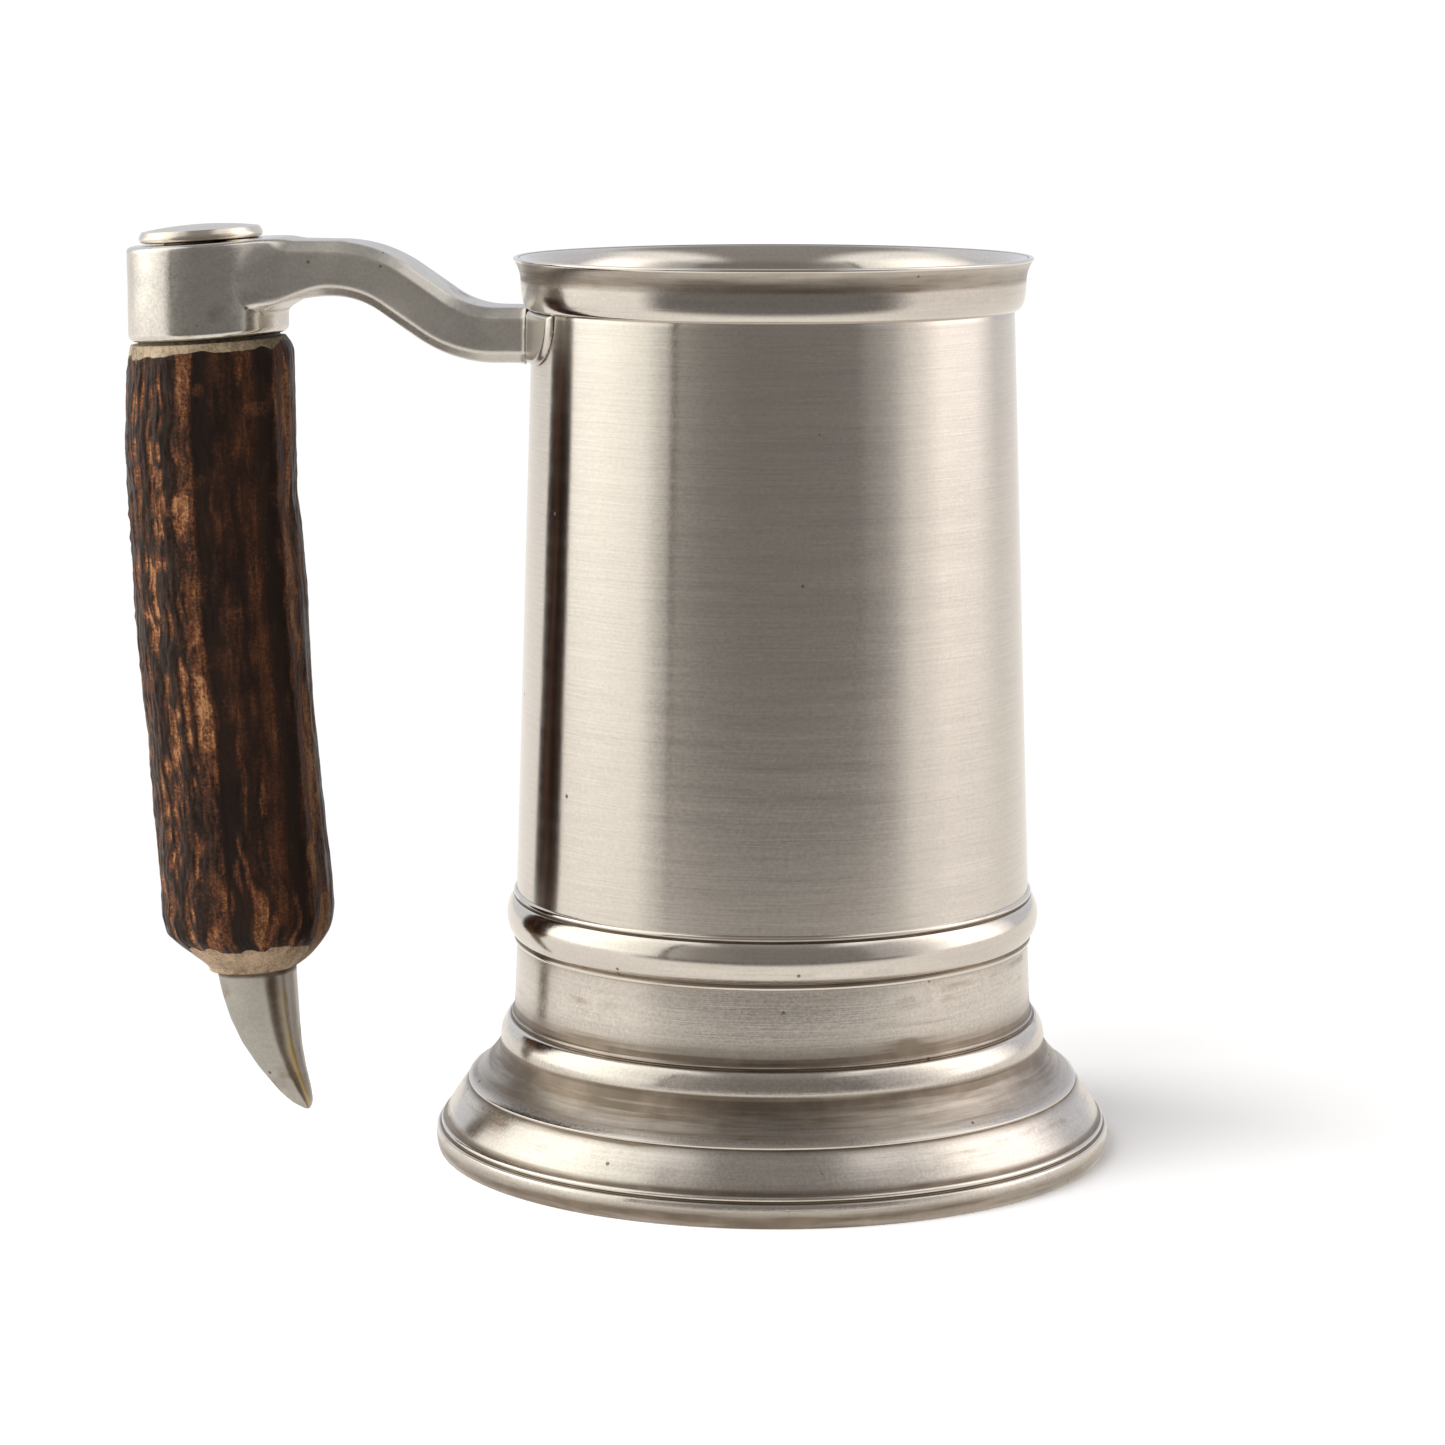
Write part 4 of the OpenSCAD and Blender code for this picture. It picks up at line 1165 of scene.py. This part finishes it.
# away from the vessel the table runs out to plain white
haze = k.add("ShaderNodeEmission")
haze.inputs["Color"].default_value = (1, 1, 1, 1)
haze.inputs["Strength"].default_value = 1.02
away = k.math("SQRT", k.math("ADD", k.math("MULTIPLY", nx_, nx_), k.math("MULTIPLY", ny, ny)))
far = k.math("MULTIPLY", k.remap(away, 0.078, 0.15), path.outputs["Is Camera Ray"])
last = k.add("ShaderNodeMixShader")
k.t.links.new(far, last.inputs[0])
k.t.links.new(pick.outputs[0], last.inputs[1])
k.t.links.new(haze.outputs[0], last.inputs[2])
k.t.links.new(last.outputs[0], fout.inputs[0])
fm.materials.append(fmat)

# world: white surround, a soft panel on each side, the room's dark side towards -Y
world = bpy.data.worlds.new("studio")
bpy.context.scene.world = world
world.use_nodes = True
k = Nodes(world.node_tree)
wout = k.add("ShaderNodeOutputWorld")
tc_ = k.add("ShaderNodeTexCoord")
sep = k.add("ShaderNodeSeparateXYZ")
k.t.links.new(tc_.outputs["Generated"], sep.inputs[0])
wx, wy, dz = sep.outputs
dx = k.math("ADD", k.math("MULTIPLY", wx, CT), k.math("MULTIPLY", wy, ST))
dy = k.math("SUBTRACT", k.math("MULTIPLY", wy, CT), k.math("MULTIPLY", wx, ST))
az = k.math("ARCTAN2", dx, k.math("MULTIPLY", dy, -1.0))
azf = k.math("ADD", k.math("DIVIDE", az, 2 * math.pi), 0.5)
ramp = k.add("ShaderNodeValToRGB")
k.put(ramp.inputs[0], azf)
stops = [(-180, (0.77, 0.80, 0.87)), (-136, (0.80, 0.82, 0.86)), (-122, (1.45, 1.43, 1.36)),
         (-104, (1.95, 1.93, 1.83)), (-88, (1.98, 1.96, 1.84)), (-74, (1.66, 1.65, 1.54)),
         (-64, (1.34, 1.33, 1.24)), (-55, (1.19, 1.17, 1.10)), (-51.5, (1.08, 1.06, 0.99)),
         (-49.2, (0.97, 0.95, 0.89)), (-48.6, (0.07, 0.065, 0.06)),
         (-46.0, (0.07, 0.065, 0.06)), (-45.4, (0.60, 0.575, 0.54)), (-41, (0.46, 0.44, 0.41)),
         (-31, (0.325, 0.306, 0.288)), (-12, (0.246, 0.231, 0.216)), (24, (0.250, 0.235, 0.225)),
         (40, (0.268, 0.254, 0.247)), (46, (0.48, 0.465, 0.455)), (60, (0.64, 0.62, 0.605)),
         (72, (1.08, 1.03, 0.99)), (86, (1.98, 1.90, 1.84)), (110, (1.98, 1.90, 1.88)),
         (121, (1.25, 1.21, 1.23)), (129, (0.71, 0.72, 0.77)), (180, (0.77, 0.80, 0.87))]
el = ramp.color_ramp.elements
while len(el) > 1:
    el.remove(el[-1])
el[0].position = 0.0
for i, (a, col) in enumerate(stops):
    e = el[0] if i == 0 else el.new(a / 360 + 0.5)
    e.position = a / 360 + 0.5
    e.color = (*[c / 2 for c in col], 1)
elev = k.math("ARCSINE", dz)
lateral = k.math("ARCSINE", k.math("ABSOLUTE", dx))
over = k.mix(k.remap(lateral, rad(14), rad(27)), (0.165, 0.160, 0.155), (0.62, 0.61, 0.60))
sky = k.mix(k.remap(elev, rad(40), rad(58)), ramp.outputs["Color"], over)
bg = k.add("ShaderNodeBackground")
k.put(bg.inputs["Color"], sky)
bg.inputs["Strength"].default_value = 2.0
white = k.add("ShaderNodeBackground")
white.inputs["Color"].default_value = (1, 1, 1, 1)
white.inputs["Strength"].default_value = 1.05
path = k.add("ShaderNodeLightPath")
pick = k.add("ShaderNodeMixShader")
k.t.links.new(path.outputs["Is Camera Ray"], pick.inputs[0])
k.t.links.new(bg.outputs[0], pick.inputs[1])
k.t.links.new(white.outputs[0], pick.inputs[2])
k.t.links.new(pick.outputs[0], wout.inputs[0])


def area(name, at, to, size, power, colour=(1, 1, 1), glossy=False):
    from mathutils import Vector
    l = bpy.data.lights.new(name, "AREA")
    l.shape = "SQUARE"
    l.size = size
    l.energy = power
    l.color = colour
    o = bpy.data.objects.new(name, l)
    at, to = Vector(studio(*at)), Vector(studio(*to))
    o.location = at
    o.rotation_euler = (to - at).to_track_quat("-Z", "Y").to_euler()
    bpy.context.scene.collection.objects.link(o)
    o.visible_glossy = glossy
    return o


area("key_left", (-0.95, -1.00, 1.10), (0, 0, 0.03), 1.3, 25.0)
area("low_left", (-1.40, -0.80, 0.60), (0, 0, 0.03), 1.0, 11.0)
area("back_left", (-1.45, 0.25, 0.58), (0, 0, 0.03), 0.9, 22.0)

# ------------------------------------------------------------------ camera

cam = bpy.data.cameras.new("camera")
cam.sensor_width = 36.0
cam.lens = 36.0 * 4207.8 / 1445.0
cam.clip_start = 0.01
cam.clip_end = 20
co = bpy.data.objects.new("camera", cam)
co.location = studio(0.0, -0.670, 0.1763)
co.rotation_euler = (rad(90 - 9.11), 0.0, rad(0.690) + TURN)
bpy.context.scene.collection.objects.link(co)
bpy.context.scene.camera = co
bpy.context.scene.view_settings.view_transform = "Standard"
